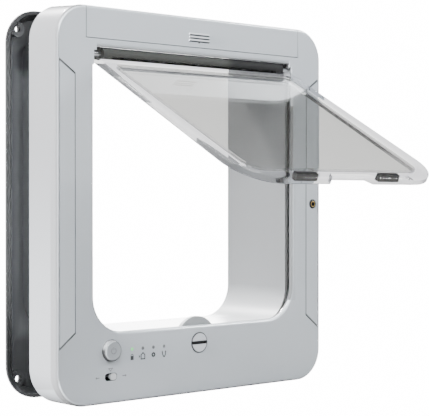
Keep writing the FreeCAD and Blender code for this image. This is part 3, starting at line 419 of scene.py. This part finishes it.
# Transparent moulding: fixed transmission, and a deeper tint where it is seen edge on
def clearMaterial(name, changes):
    look = {**clearDefaults, **changes}
    material, tree, shader = newMaterial(name)
    skin = placeGroup(tree, mouldedSkin, Colour=(*look["colour"], 1), Drift=look["drift"],
                      DriftScale=look["driftScale"], GrainScale=look["grainScale"],
                      Roughness=look["roughness"], RoughSpread=look["roughSpread"])
    slant = addNode(tree, "ShaderNodeLayerWeight")
    slant.inputs["Blend"].default_value = 0.5
    edge = mapRange(tree, slant.outputs["Facing"], low=look["edgeStart"],
                    high=look["edgeEnd"])
    feed(tree, shader.inputs["Base Color"], mixColour(
        tree, edge, skin.outputs["Colour"], (*look["edgeColour"], 1)))
    setSockets(shader, roughness=look["roughness"], metallic=0.0, transmission=1.0,
               ior=look["ior"], coat=look["coat"], coatRoughness=look["coatRoughness"])
    addBump(tree, shader, skin.outputs["Height"], look)
    return material


def metalMaterial(name, changes):
    look = {"bump": 0.2, "bumpDistance": 0.02 * mm, **changes}
    material, tree, shader = newMaterial(name)
    metal = placeGroup(tree, brushedMetal, Colour=(*look["colour"], 1),
                       Roughness=look["roughness"], LineScale=look["lineScale"])
    feed(tree, shader.inputs["Base Color"], metal.outputs["Colour"])
    feed(tree, shader.inputs["Roughness"], metal.outputs["Roughness"])
    setSockets(shader, metallic=1.0)
    addBump(tree, shader, metal.outputs["Height"], look)
    return material


def windingMaterial(name, look):
    material, tree, shader = newMaterial(name)
    wire = placeGroup(tree, winding, Colour=(*look["colour"], 1), Pitch=look["pitch"])
    feed(tree, shader.inputs["Base Color"], wire.outputs["Colour"])
    setSockets(shader, roughness=look["roughness"], metallic=1.0)
    addBump(tree, shader, wire.outputs["Height"], look)
    return material


# Shades for plasticMaterial, with places and sizes in millimetres

# Another colour past a place along a direction: none at start, all of it at end
def fade(x, y, z, start, end, colour, amount=1.0):
    values = {"X": x, "Y": y, "Z": z, "From": start * mm, "To": end * mm}
    return fadeAlong, values, "Mask", amount, colour


# Another colour inside a box
def patch(middle, half, soft, colour, amount=1.0):
    names = ("X", "Y", "Z", "HalfX", "HalfY", "HalfZ", "Soft")
    values = dict(zip(names, (size * mm for size in (*middle, *half, soft))))
    return boxMask, values, "Mask", amount, colour


# Another colour beyond a radius about a control's axis, or only at its lower left
def ring(control, radius, soft, colour, amount=1.0, output="Mask"):
    values = {"X": control["x"] * mm, "Z": control["z"] * mm, "Radius": radius * mm,
              "Soft": soft * mm}
    return ringMask, values, output, amount, colour


# Middle, half width, left, right, foot and face of a node's box from indoors, in millimetres
def seenFromIndoors(node):
    low, high = ([size / mm for size in corner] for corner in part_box(node))
    return {"x": (low[0] + high[0]) / 2, "z": (low[2] + high[2]) / 2,
            "half": (high[0] - low[0]) / 2, "left": low[0], "right": high[0],
            "foot": low[2], "face": low[1]}


# Painted shade in seams and gaps between parts
seamShadeBlack = (0.03, 0.031, 0.033)
# Painted shade inside slots and recesses
slotShadeBlack = (0.006, 0.006, 0.006)
shellColour = (0.62, 0.655, 0.69)
# Painted shade: a dark grey for sides and rounded edges that the strip light brightens
sideShadeGrey = (0.11, 0.112, 0.116)  # sides and rounded edges turned to the strip light
shellLook = {"roughness": 0.36, "coat": 0.9, "coatRoughness": 0.08, "drift": 0.03,
             "driftScale": 7.0}

# Housing: a grey face on sides painted dark as shade, which the strip light brightens; depths
# count from the face
housing = seenFromIndoors("front_housing")
switch = seenFromIndoors("mode_switch")
faceSetup = {
    "sideFrom": 1.2, "sideTo": 1.8,
    "slotDepth": 7.0, "slotHalf": (5.5, 6.85, 3.0),
    "lowerLeft": (-0.6, 0, -1), "lowerLeftFrom": 20, "lowerLeftTo": 160,
    "edgeInset": 5.3, "edgeFade": 1.0, "edgeHalf": (18, 2.75, 140),
    "lipPlace": 91, "lipHalf": (3.3, 2.86, 72), "roundingDepth": 3.0,
}
faceShell = plasticMaterial("faceShell", {
    **shellLook, "colour": shellColour,
    "shades": [
        # painted shade on the sides and on all that lies deeper, behind the rounded edge
        fade(0, 1, 0, start=housing["face"] + faceSetup["sideFrom"],
             end=housing["face"] + faceSetup["sideTo"], colour=sideShadeGrey),
        # painted shade inside the switch's slot
        patch(middle=(switch["x"], housing["face"] + faceSetup["slotDepth"], switch["z"]),
              half=faceSetup["slotHalf"], soft=0.1, colour=slotShadeBlack),
        # painted shade, darker towards the lower left
        fade(*faceSetup["lowerLeft"], start=faceSetup["lowerLeftFrom"],
             end=faceSetup["lowerLeftTo"], colour=(0.40, 0.425, 0.455), amount=0.4),
        # painted shade on the rounding of the left edge
        patch(middle=(housing["left"] + faceSetup["edgeInset"],
                      housing["face"] + faceSetup["roundingDepth"], 0),
              half=faceSetup["edgeHalf"], soft=0.4, colour=sideShadeGrey),
        fade(-1, 0, 0, start=-housing["left"] - faceSetup["edgeInset"],
             end=-housing["left"] - faceSetup["edgeInset"] + faceSetup["edgeFade"],
             colour=sideShadeGrey, amount=0.6),
        # painted shade on the rolled lip at the right of the opening
        patch(middle=(faceSetup["lipPlace"], housing["face"] + faceSetup["roundingDepth"], 0),
              half=faceSetup["lipHalf"], soft=0.4, colour=sideShadeGrey, amount=0.95),
    ],
})

# Side covers: painted shade as seam lines along the inner side and the mitred ends
seamInside = 0.5  # from the cover's inner side to the seam's
stripSeam = {"Inner": (seenFromIndoors("right_side_cover")["left"] - seamInside) * mm,
             "Top": 85.45 * mm, "TopSlope": 0.69,
             "Bottom": -84.05 * mm, "BottomSlope": -0.79,
             "SideWidth": 0.75 * mm, "SlantWidth": 1.7 * mm}
stripShell = plasticMaterial("stripShell", {
    **shellLook, "colour": shellColour,
    "shades": [(stripEdge, stripSeam, "Mask", 0.85, seamShadeBlack)],
})

# Battery cover: a painted shadow line under and a painted highlight line on each grip rib, and
# painted shade in the seams at its ends
cover = seenFromIndoors("battery_cover")
coverSetup = {"ribShadowLine": 3.95, "ribHighlightLine": 5.05,  # up from the cover's foot
              "seamStart": 0.5, "seamEnd": 0.3}
coverRibs = {"Pitch": 2.2 * mm, "Count": 3, "HalfLine": 0.4 * mm, "HalfWidth": 9.2 * mm}
coverShell = plasticMaterial("coverShell", {
    **shellLook, "colour": shellColour,
    "shades": [
        # painted shadow under each rib
        (ribLines, {**coverRibs, "Start": (cover["foot"] + coverSetup["ribShadowLine"]) * mm},
         "Mask", 0.97, (0.01, 0.01, 0.012)),
        # painted highlight on each rib
        (ribLines, {**coverRibs, "Start": (cover["foot"] + coverSetup["ribHighlightLine"]) * mm},
         "Mask", 0.8, (1.0, 1.0, 1.0)),
        # painted shade in the seams at the ends
        *[fade(side, 0, 0, start=cover["half"] - coverSetup["seamStart"],
               end=cover["half"] - coverSetup["seamEnd"], colour=seamShadeBlack, amount=0.55)
          for side in (-1, 1)],
    ],
})

# Tunnel: white walls, and a greyer rim of painted shade where they meet the housing
tunnelRim = -seenFromIndoors("tunnel")["face"]
rimSetup = {"from": 0.3, "to": 0.05}  # behind the tunnel's end
whiteShell = plasticMaterial("whiteShell", {
    "colour": (0.54, 0.55, 0.565), "roughness": 0.4, "drift": 0.03, "driftScale": 8.0,
    "coat": 0.2, "coatRoughness": 0.2,
    "shades": [fade(0, -1, 0, start=tunnelRim - rimSetup["from"],
                    end=tunnelRim - rimSetup["to"], colour=(0.34, 0.345, 0.35))],
})

# Push button, in line with the switch: painted shade on its rim, and a painted shadow at its
# lower left
button = {**seenFromIndoors("push_button"), "x": switch["x"]}
buttonSetup = {"radius": 7.1, "rim": 1.0, "underRim": 0.45}
buttonShell = plasticMaterial("buttonShell", {
    "colour": (0.38, 0.40, 0.42), "roughness": 0.36, "coat": 0.3, "driftScale": 30.0,
    "shades": [
        ring(button, buttonSetup["radius"] - buttonSetup["rim"], soft=0.8,
             colour=(0.11, 0.114, 0.118), amount=0.9),
        ring(button, buttonSetup["radius"] - buttonSetup["underRim"], soft=0.4,
             colour=(0.01, 0.01, 0.01), amount=0.97, output="Lower"),
    ],
})

# Lock knob: painted shade as a thin dark rim in the gap round it, and inside its coin slot
knob = seenFromIndoors("lock_knob")
knobSetup = {"rim": 0.6, "slotHalf": (6.6, 5, 1.15), "slotFrom": 0.1, "slotTo": 0.5}
knobShell = plasticMaterial("knobShell", {
    "colour": (0.66, 0.68, 0.71), "roughness": 0.34, "coat": 0.3, "driftScale": 40.0,
    "shades": [
        ring(knob, knob["half"] - knobSetup["rim"], soft=0.3, colour=seamShadeBlack, amount=0.93),
        patch(middle=(knob["x"], knob["face"], knob["z"]), half=knobSetup["slotHalf"],
              soft=0.2, colour=slotShadeBlack),
        fade(0, 1, 0, start=knob["face"] + knobSetup["slotFrom"],
             end=knob["face"] + knobSetup["slotTo"], colour=slotShadeBlack),
    ],
})
sliderShell = plasticMaterial("sliderShell", {
    "colour": (0.68, 0.69, 0.70), "roughness": 0.36, "coat": 0.3, "driftScale": 60.0,
})
wheelShell = plasticMaterial("wheelShell", {
    "colour": (0.40, 0.415, 0.43), "roughness": 0.45, "driftScale": 30.0,
})

# Inner mouldings: painted light, pale, from the rear cover's front face forwards, because the
# gap by the tunnel shows that face in shade, and greyer behind it
innerShell = plasticMaterial("innerShell", {
    "colour": (0.40, 0.41, 0.43), "roughness": 0.55, "drift": 0.08, "driftScale": 12.0,
    "shades": [fade(0, -1, 0, start=2.3, end=2.5, colour=(0.92, 0.925, 0.93))],
})

# Outdoor frame: dark, with painted light inside its left side, and painted shade at that side's
# edge and at the top
outdoor = seenFromIndoors("outdoor_frame")
outdoorDark = (0.06, 0.0615, 0.0635)
outdoorSetup = {"litInset": 24, "litDepth": 12.5, "litHalf": (8, 9, 90),
                "edgeFrom": 9, "edgeTo": 4,  # in from the left side
                "slope": (-0.4, 0.92, 0), "outerFrom": 81.3, "outerTo": 82.0,
                "topFrom": 98, "topTo": 124}
outdoorShell = plasticMaterial("outdoorShell", {
    "colour": outdoorDark, "roughness": 0.42, "drift": 0.08, "driftScale": 14.0,
    "grainScale": 900.0, "bump": 0.0,
    "shades": [
        # painted light inside the left side, where the housing shades the tray
        patch(middle=(outdoor["left"] + outdoorSetup["litInset"],
                      outdoor["face"] + outdoorSetup["litDepth"], 0),
              half=outdoorSetup["litHalf"], soft=9, colour=(0.16, 0.164, 0.168)),
        # painted shade on the left side's edge, against the strip light
        fade(-1, 0, 0, start=-outdoor["left"] - outdoorSetup["edgeFrom"],
             end=-outdoor["left"] - outdoorSetup["edgeTo"], colour=(0.018, 0.0185, 0.019)),
        # outer face and its slopes, which stay as dark as the rest
        fade(*outdoorSetup["slope"], start=outdoorSetup["outerFrom"],
             end=outdoorSetup["outerTo"], colour=outdoorDark),
        # painted shade towards the top
        fade(0, 0, 1, start=outdoorSetup["topFrom"], end=outdoorSetup["topTo"],
             colour=(0.008, 0.008, 0.008), amount=0.9),
    ],
})

# Hinge rail: matt, darker towards its right end
railShell = plasticMaterial("railShell", {
    "colour": (0.062, 0.063, 0.058), "roughness": 0.7, "drift": 0.12, "driftScale": 60.0,
    "specular": 0.15,
    "shades": [fade(1, 0, 0, start=22, end=36, colour=(0.022, 0.022, 0.022))],
})
darkShell = plasticMaterial("darkShell", {
    "colour": (0.02, 0.02, 0.021), "roughness": 0.35, "drift": 0.1, "driftScale": 60.0,
})
sensorLens = plasticMaterial("sensorLens", {
    "colour": (0.012, 0.011, 0.012), "roughness": 0.12, "coat": 0.6, "driftScale": 80.0,
})
unlitLens = plasticMaterial("unlitLens", {
    "colour": (0.16, 0.165, 0.17), "roughness": 0.25, "driftScale": 90.0,
})
litLens = plasticMaterial("litLens", {
    "colour": (0.20, 0.62, 0.24), "roughness": 0.25, "driftScale": 90.0,
    "glow": (0.25, 0.9, 0.3), "glowStrength": 0.5,
})

# Magnets: painted shade, near black, on the flap's upper side, square to the flap at rest
flapUp = (0, -0.479, 0.878)
magnetCoat = plasticMaterial("magnetCoat", {
    "colour": (0.032, 0.032, 0.030), "roughness": 0.5, "drift": 0.2, "driftScale": 160.0,
    "specular": 0.2,
    "shades": [fade(*flapUp, start=97.3, end=97.7, colour=(0.002, 0.002, 0.002))],
})
boardResist = plasticMaterial("boardResist", {
    "colour": (0.02, 0.12, 0.05), "roughness": 0.35, "drift": 0.2, "driftScale": 200.0,
})
cellWrap = plasticMaterial("cellWrap", {
    "colour": (0.05, 0.055, 0.065), "roughness": 0.3, "coat": 0.4, "driftScale": 50.0,
})
steel = metalMaterial("steel", {
    "colour": (0.60, 0.61, 0.62), "roughness": 0.22, "lineScale": 1200.0,
})
copperCoil = windingMaterial("copperCoil", {
    "colour": (0.70, 0.33, 0.16), "pitch": 0.4 * mm, "roughness": 0.35, "bump": 0.6,
    "bumpDistance": 0.2 * mm,
})

# Flap: a clear frame round a lightly smoked panel
clearFrame = clearMaterial("clearFrame", {
    "colour": (0.97, 0.972, 0.965), "driftScale": 30.0, "grainScale": 90.0, "bump": 0.05,
    "coat": 0.15,
    "edgeStart": 0.35, "edgeEnd": 0.9, "edgeColour": (0.5, 0.5, 0.55),
})
smokedPanel = clearMaterial("smokedPanel", {
    "colour": (0.63, 0.63, 0.612), "driftScale": 20.0, "grainScale": 60.0, "bump": 0.02,
    "coat": 1.0,
    "edgeStart": 0.7, "edgeEnd": 1.0, "edgeColour": (0.45, 0.45, 0.44),
})

finishes = {
    faceShell: ["front_housing"],
    coverShell: ["battery_cover"],
    stripShell: ["left_side_cover", "right_side_cover"],
    whiteShell: ["tunnel"],
    buttonShell: ["push_button"],
    knobShell: ["lock_knob"],
    sliderShell: ["mode_slider"],
    wheelShell: ["lock_wheel"],
    innerShell: ["rear_cover", "battery_holder", "lock_bracket", "hinge_bearings"],
    outdoorShell: ["outdoor_frame"],
    railShell: ["hinge_rail"],
    darkShell: ["button_switch", "mode_switch", "solenoid"],
    sensorLens: ["light_sensor"],
    unlitLens: ["led_others"],
    litLens: ["led_lit"],
    magnetCoat: ["flap_magnets", "catch_magnets"],
    boardResist: ["circuit_board"],
    cellWrap: ["battery_cells"],
    steel: ["hinge_pins", "case_screws", "board_screws", "battery_contacts", "lock_bolt"],
    copperCoil: ["aerial_coil"],
    clearFrame: ["flap_frame"],
    smokedPanel: ["flap_panel"],
}
for material, names in finishes.items():
    for name in names:
        for slot in nodes[name].material_slots:
            slot.material = material
print("materials given to", sum(len(names) for names in finishes.values()), "nodes")


# Adds a mesh to the scene as a piece of the body it moves with
def addPiece(name, mesh, material, body):
    mesh.materials.append(material)
    piece = bpy.data.objects.new(name, mesh)
    scene.collection.objects.link(piece)
    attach(piece, body)


# Flat printed marks, worked out as outlines in millimetres and laid just over a surface

# Band between two circles: inner and outer points at the same angles, joined as quads
def ringStrip(centre, radius, width, start=0.0, end=360.0, steps=40):
    angle = np.radians(np.linspace(start, end, steps))
    spoke = np.stack([np.cos(angle), np.sin(angle)], axis=1)
    inner = np.array(centre) + spoke * (radius - width / 2)
    outer = np.array(centre) + spoke * (radius + width / 2)
    points = np.concatenate([inner, outer])
    i = np.arange(steps - 1)
    faces = np.stack([i, i + 1, i + 1 + steps, i + steps], axis=1)
    return points, faces


# Band of even width along a line: each corner moves to both sides along its mitre,
# by half the width over the cosine of half the turn there
def lineStrip(corners, width, closed=False):
    line = np.array(corners, dtype=float)
    if closed:
        before, after = np.roll(line, 1, axis=0), np.roll(line, -1, axis=0)
    else:
        before = np.concatenate([2 * line[:1] - line[1:2], line[:-1]])
        after = np.concatenate([line[1:], 2 * line[-1:] - line[-2:-1]])
    back = line - before
    ahead = after - line
    back /= np.linalg.norm(back, axis=1, keepdims=True)
    ahead /= np.linalg.norm(ahead, axis=1, keepdims=True)
    side = back + ahead
    side /= np.linalg.norm(side, axis=1, keepdims=True)
    across = np.stack([-side[:, 1], side[:, 0]], axis=1)
    cosine = np.abs(np.sum(across * np.stack([-ahead[:, 1], ahead[:, 0]], axis=1), axis=1))
    smallestCosine = 0.4  # keeps sharp corners short
    reach = (width / 2 / np.maximum(cosine, smallestCosine))[:, None]
    points = np.concatenate([line - across * reach, line + across * reach])
    count = len(line)
    i = np.arange(count if closed else count - 1)
    j = (i + 1) % count
    return points, np.stack([i, j, j + count, i + count], axis=1)


# Filled convex outline: its middle joined to each side, as triangles
def fan(corners):
    outline = np.array(corners, dtype=float)
    points = np.concatenate([outline, outline.mean(axis=0)[None]])
    count = len(outline)
    i = np.arange(count)
    return points, np.stack([i, (i + 1) % count, np.full(count, count)], axis=1)


def moved(shape, x, z):
    points, faces = shape
    return points + (x, z), faces


# Faces turned towards the room: twice a face's signed area is the sum over its corners of
# x * nextZ - nextX * z, and is above zero where the corners run anticlockwise seen from there
def facingIndoors(points, faces):
    corners = points[faces]
    following = np.roll(corners, -1, axis=1)
    area = np.sum(corners[..., 0] * following[..., 1] - following[..., 0] * corners[..., 1],
                  axis=1)
    return np.where(area[:, None] < 0, faces[:, ::-1], faces)


# Joins outlines into one mesh at one depth, all in millimetres
def flatPiece(name, shapes, depth, material, body):
    corners, faces, first = [], [], 0
    for points, shapeFaces in shapes:
        corners.append(points)
        faces += (facingIndoors(points, shapeFaces) + first).tolist()
        first += len(points)
    flat = np.concatenate(corners)
    place = np.stack([flat[:, 0], np.full(len(flat), depth), flat[:, 1]], axis=1)
    mesh = bpy.data.meshes.new(name)
    mesh.from_pydata((place * mm).tolist(), [], faces)
    mesh.update()
    addPiece(name, mesh, material, body)


printInk = plasticMaterial("printInk", {
    "colour": (0.05, 0.052, 0.055), "roughness": 0.5, "drift": 0.3, "driftScale": 700.0,
})
faintInk = plasticMaterial("faintInk", {
    "colour": (0.20, 0.205, 0.215), "roughness": 0.5, "drift": 0.2, "driftScale": 700.0,
})
inkProud = 0.03
faceInk = housing["face"] - inkProud

# Icons at one height under the four lights: padlock, house, sun and hook
icons = {
    "below": 5.05,
    "padlock": {"body": [(-1.3, -2.3), (1.3, -2.3), (1.3, 0.5), (-1.3, 0.5)],
                "bowMiddle": (0, 0.6), "bowRadius": 0.95, "bowWidth": 0.45},
    "house": {"wall": [(-1.5, -2.2), (1.7, -2.2), (1.7, 0.6), (0.1, 2.0), (-1.5, 0.6)],
              "wallWidth": 0.75, "arrow": [(-3.3, -1.5), (-2.3, -0.4), (-3.3, 0.7)]},
    "sun": {"radius": 1.05, "width": 1.1, "rays": 8, "rayFoot": 1.2, "rayTip": 2.15,
            "rayHalf": 0.35},
    "hook": {"line": [(-1.5, 1.9), (-1.2, 0.0), (-0.4, -1.9), (0.5, -2.1), (1.3, -0.6),
                      (1.5, 1.2)],
             "lineWidth": 0.8, "arrow": [(0.7, 1.0), (2.3, 1.0), (1.5, 2.2)]},
}


def padlockIcon(look):
    return [fan(look["body"]),
            ringStrip(look["bowMiddle"], look["bowRadius"], look["bowWidth"],
                      start=0, end=180, steps=16)]


def houseIcon(look):
    return [lineStrip(look["wall"], look["wallWidth"], closed=True), fan(look["arrow"])]


# Each ray is a triangle: foot * out plus and minus half * across, and tip * out
def sunIcon(look):
    shapes = [ringStrip((0, 0), look["radius"], look["width"])]
    for angle in np.linspace(0, 2 * np.pi, look["rays"], endpoint=False):
        out = np.array([np.cos(angle), np.sin(angle)])
        across = np.array([-np.sin(angle), np.cos(angle)])
        shapes.append(fan([look["rayFoot"] * out - look["rayHalf"] * across,
                           look["rayTip"] * out,
                           look["rayFoot"] * out + look["rayHalf"] * across]))
    return shapes


def hookIcon(look):
    return [lineStrip(look["line"], look["lineWidth"]), fan(look["arrow"])]


firstLight = seenFromIndoors("led_lit")
lastLightX = seenFromIndoors("led_others")["right"] - firstLight["half"]
iconDrawings = [padlockIcon(icons["padlock"]), houseIcon(icons["house"]),
                sunIcon(icons["sun"]), hookIcon(icons["hook"])]
iconPlaces = np.linspace(firstLight["x"], lastLightX, len(iconDrawings))
iconHeight = firstLight["z"] - icons["below"]
flatPiece("face_marks", [
    moved(shape, x, iconHeight)
    for x, drawing in zip(iconPlaces, iconDrawings) for shape in drawing
], faceInk, printInk, "case")

# Marks about the switch's middle: a hollow triangle over it and an arrow on each side
switchMarks = {
    "pointer": [(-2.1, 5.65), (1.1, 5.65), (-0.5, 3.95)], "pointerWidth": 0.5,
    "arrowWidth": 0.6,
    "leftLine": [(-12.2, 0), (-9.6, 0)], "leftHead": [(-12.9, 0), (-11.6, 0.9), (-11.6, -0.9)],
    "rightLine": [(9.3, 0), (11.9, 0)], "rightHead": [(12.9, 0), (11.6, -0.9), (11.6, 0.9)],
}
flatPiece("switch_marks", [moved(shape, switch["x"], switch["z"]) for shape in (
    lineStrip(switchMarks["pointer"], switchMarks["pointerWidth"], closed=True),
    lineStrip(switchMarks["leftLine"], switchMarks["arrowWidth"]),
    fan(switchMarks["leftHead"]),
    lineStrip(switchMarks["rightLine"], switchMarks["arrowWidth"]),
    fan(switchMarks["rightHead"]),
)], faceInk, faintInk, "case")

# Button's mark: an open ring with a short upright line in its gap
buttonMark = {"radius": 1.9, "width": 0.55, "start": 120, "end": 420,
              "line": [(0, 0.6), (0, 2.6)], "lineWidth": 0.5}
flatPiece("button_mark", [moved(shape, button["x"], button["z"]) for shape in (
    ringStrip((0, 0), buttonMark["radius"], buttonMark["width"],
              start=buttonMark["start"], end=buttonMark["end"]),
    lineStrip(buttonMark["line"], buttonMark["lineWidth"]),
)], button["face"] - inkProud, faintInk, "button")

# Battery cover's mark: a small triangle under the ribs that points down
coverMark = {"x": -0.2, "aboveFoot": 3.2, "corners": [(-1.3, 0.8), (1.3, 0.8), (0, -0.7)]}
flatPiece("cover_mark", [
    moved(fan(coverMark["corners"]), coverMark["x"], cover["foot"] + coverMark["aboveFoot"]),
], faceInk, printInk, "battery_lid")
print("marks printed")

# Brass ring inside the light sensor, in millimetres
sensorRing = {"radius": 1.9, "wire": 0.35, "proud": 0.1, "stepsAround": 48, "stepsInWire": 12}
brass = metalMaterial("brass", {
    "colour": (0.62, 0.45, 0.18), "roughness": 0.25, "lineScale": 1500.0,
})


# A small circle carried round a larger one: each point is radius + wire * cos(b) out from
# the axis at the angle a, and wire * sin(b) along the axis
def makeSensorRing(look):
    around, small = look["stepsAround"], look["stepsInWire"]
    sensor = seenFromIndoors("light_sensor")
    a = np.linspace(0, 2 * np.pi, around, endpoint=False)[:, None]
    b = np.linspace(0, 2 * np.pi, small, endpoint=False)[None, :]
    out = look["radius"] + look["wire"] * np.cos(b)
    x = sensor["x"] + out * np.cos(a)
    y = sensor["face"] + look["proud"] + look["wire"] * np.sin(b) * np.ones_like(a)
    z = sensor["z"] + out * np.sin(a)
    points = np.stack([x, y, z], axis=2).reshape(-1, 3) * mm
    i, j = np.meshgrid(np.arange(around), np.arange(small), indexing="ij")
    k, m = (i + 1) % around, (j + 1) % small
    faces = np.stack([i * small + j, i * small + m, k * small + m, k * small + j], axis=2)
    mesh = bpy.data.meshes.new("sensor_ring")
    mesh.from_pydata(points.tolist(), [], faces.reshape(-1, 4).tolist())
    mesh.polygons.foreach_set("use_smooth", [True] * len(mesh.polygons))
    mesh.update()
    addPiece("sensor_ring", mesh, brass, "case")


makeSensorRing(sensorRing)
print("sensor ring made")

# Stage: floor and surroundings are white to the camera and dimmer to every other ray
stageSetup = {
    "floorReach": 6.0,
    "white": 16.0,
    "throughGlass": 2.4,
    "glassFadeFrom": 0.22,  # heights on the unit sphere of directions
    "glassFadeTo": 0.4,
    "ambient": 0.2,
    "bounce": (0.12, 0.12, 0.12),
    "mirrored": 0.1,
}


# Strength of the surroundings for each kind of ray: through glass they dim upwards, and
# after a matt surface they give ambient light only
def surroundingsStrength(tree, look):
    path = addNode(tree, "ShaderNodeLightPath")
    direct = mixFloat(tree, path.outputs["Is Diffuse Ray"], look["white"], look["ambient"])
    direct = mixFloat(tree, path.outputs["Is Glossy Ray"], direct, look["mirrored"])
    direction = addNode(tree, "ShaderNodeSeparateXYZ")
    feed(tree, direction.inputs[0], addNode(tree, "ShaderNodeTexCoord").outputs["Generated"])
    throughGlass = mapRange(tree, direction.outputs["Z"],
                            low=look["glassFadeFrom"], high=look["glassFadeTo"],
                            toLow=look["throughGlass"], toHigh=look["mirrored"])
    noBounce = 0.5  # the depth is 0 before the first matt surface and 1 after it
    unscattered = mathNode(tree, "LESS_THAN", path.outputs["Diffuse Depth"], noBounce)
    glassRay = mathNode(tree, "MULTIPLY", path.outputs["Is Transmission Ray"], unscattered)
    scattered = mathNode(tree, "SUBTRACT", 1.0, unscattered)
    return mixFloat(tree, scattered, mixFloat(tree, glassRay, direct, throughGlass),
                    look["ambient"])


world = bpy.data.worlds.new("studio")
scene.world = world
world.cycles.sampling_method = "NONE"
world.use_nodes = True
background = world.node_tree.nodes["Background"]
background.inputs["Color"].default_value = (1, 1, 1, 1)
feed(world.node_tree, background.inputs["Strength"],
     surroundingsStrength(world.node_tree, stageSetup))


# Floor paint that glows white for the camera and is a dark matt surface for lighting rays
def floorMaterial(name, look):
    material = bpy.data.materials.new(name)
    material.use_nodes = True
    tree = material.node_tree
    tree.nodes.remove(tree.nodes["Principled BSDF"])
    path = addNode(tree, "ShaderNodeLightPath")
    seen = mathNode(tree, "MAXIMUM", path.outputs["Is Camera Ray"],
                    path.outputs["Is Transmission Ray"])
    matt = addNode(tree, "ShaderNodeBsdfDiffuse")
    matt.inputs["Color"].default_value = (*look["bounce"], 1)
    bright = addNode(tree, "ShaderNodeEmission")
    feed(tree, bright.inputs["Strength"], mixFloat(
        tree, path.outputs["Is Transmission Ray"], look["white"], look["throughGlass"]))
    both = addNode(tree, "ShaderNodeMixShader")
    feed(tree, both.inputs[0], seen)
    feed(tree, both.inputs[1], matt.outputs[0])
    feed(tree, both.inputs[2], bright.outputs[0])
    feed(tree, tree.nodes["Material Output"].inputs["Surface"], both.outputs[0])
    return material


floorReach = stageSetup["floorReach"]
floorHeight = cadBox[0][2]
floorMesh = bpy.data.meshes.new("floor")
floorMesh.from_pydata([(-floorReach, -floorReach, floorHeight),
                       (floorReach, -floorReach, floorHeight),
                       (floorReach, floorReach, floorHeight),
                       (-floorReach, floorReach, floorHeight)], [], [(0, 1, 2, 3)])
floorMesh.materials.append(floorMaterial("floorPaint", stageSetup))
floor = bpy.data.objects.new("floor", floorMesh)
scene.collection.objects.link(floor)


# Softbox aimed at a point; power in watts
def softbox(name, place, target, width, height, power, colour=(1, 1, 1), mirroredOnly=False,
            matteOnly=False):
    light = bpy.data.lights.new(name, "AREA")
    light.shape = "RECTANGLE"
    light.size = width
    light.size_y = height
    light.energy = power
    light.color = colour
    lamp = bpy.data.objects.new(name, light)
    lamp.location = place
    away = np.array(place) - np.array(target)
    lamp.rotation_euler = (
        math.atan2(math.hypot(away[0], away[1]), away[2]), 0,
        math.atan2(away[1], away[0]) + math.pi / 2)
    lamp.visible_camera = False
    lamp.visible_glossy = not matteOnly
    lamp.visible_diffuse = not mirroredOnly
    lamp.visible_transmission = not mirroredOnly
    scene.collection.objects.link(lamp)


coolWhite = (0.93, 0.965, 1.0)
lights = {
    "keyBehind": {"place": (-0.12, 1.45, 2.05), "target": (0, 0.02, 0), "width": 0.3,
                  "height": 0.3, "power": 300},
    "topFront": {"place": (-0.75, -0.85, 1.05), "target": (0, 0, 0.03), "width": 0.8,
                 "height": 0.6, "power": 23, "colour": coolWhite},
    "rightFront": {"place": (1.05, -0.75, 0.8), "target": (0, 0, -0.05), "width": 0.32,
                   "height": 0.32, "power": 23, "colour": coolWhite},
    "leftStrip": {"place": (-1.5, -0.03, 0.1), "target": (-0.12, 0, 0), "width": 0.14,
                  "height": 1.4, "power": 430, "matteOnly": True},
    "backCard": {"place": (1.4, 1.55, 0.25), "target": (0, 0, 0), "width": 1.6,
                 "height": 1.2, "power": 160, "mirroredOnly": True},
}
for name, setup in lights.items():
    softbox(name, **setup)
print("stage lit")
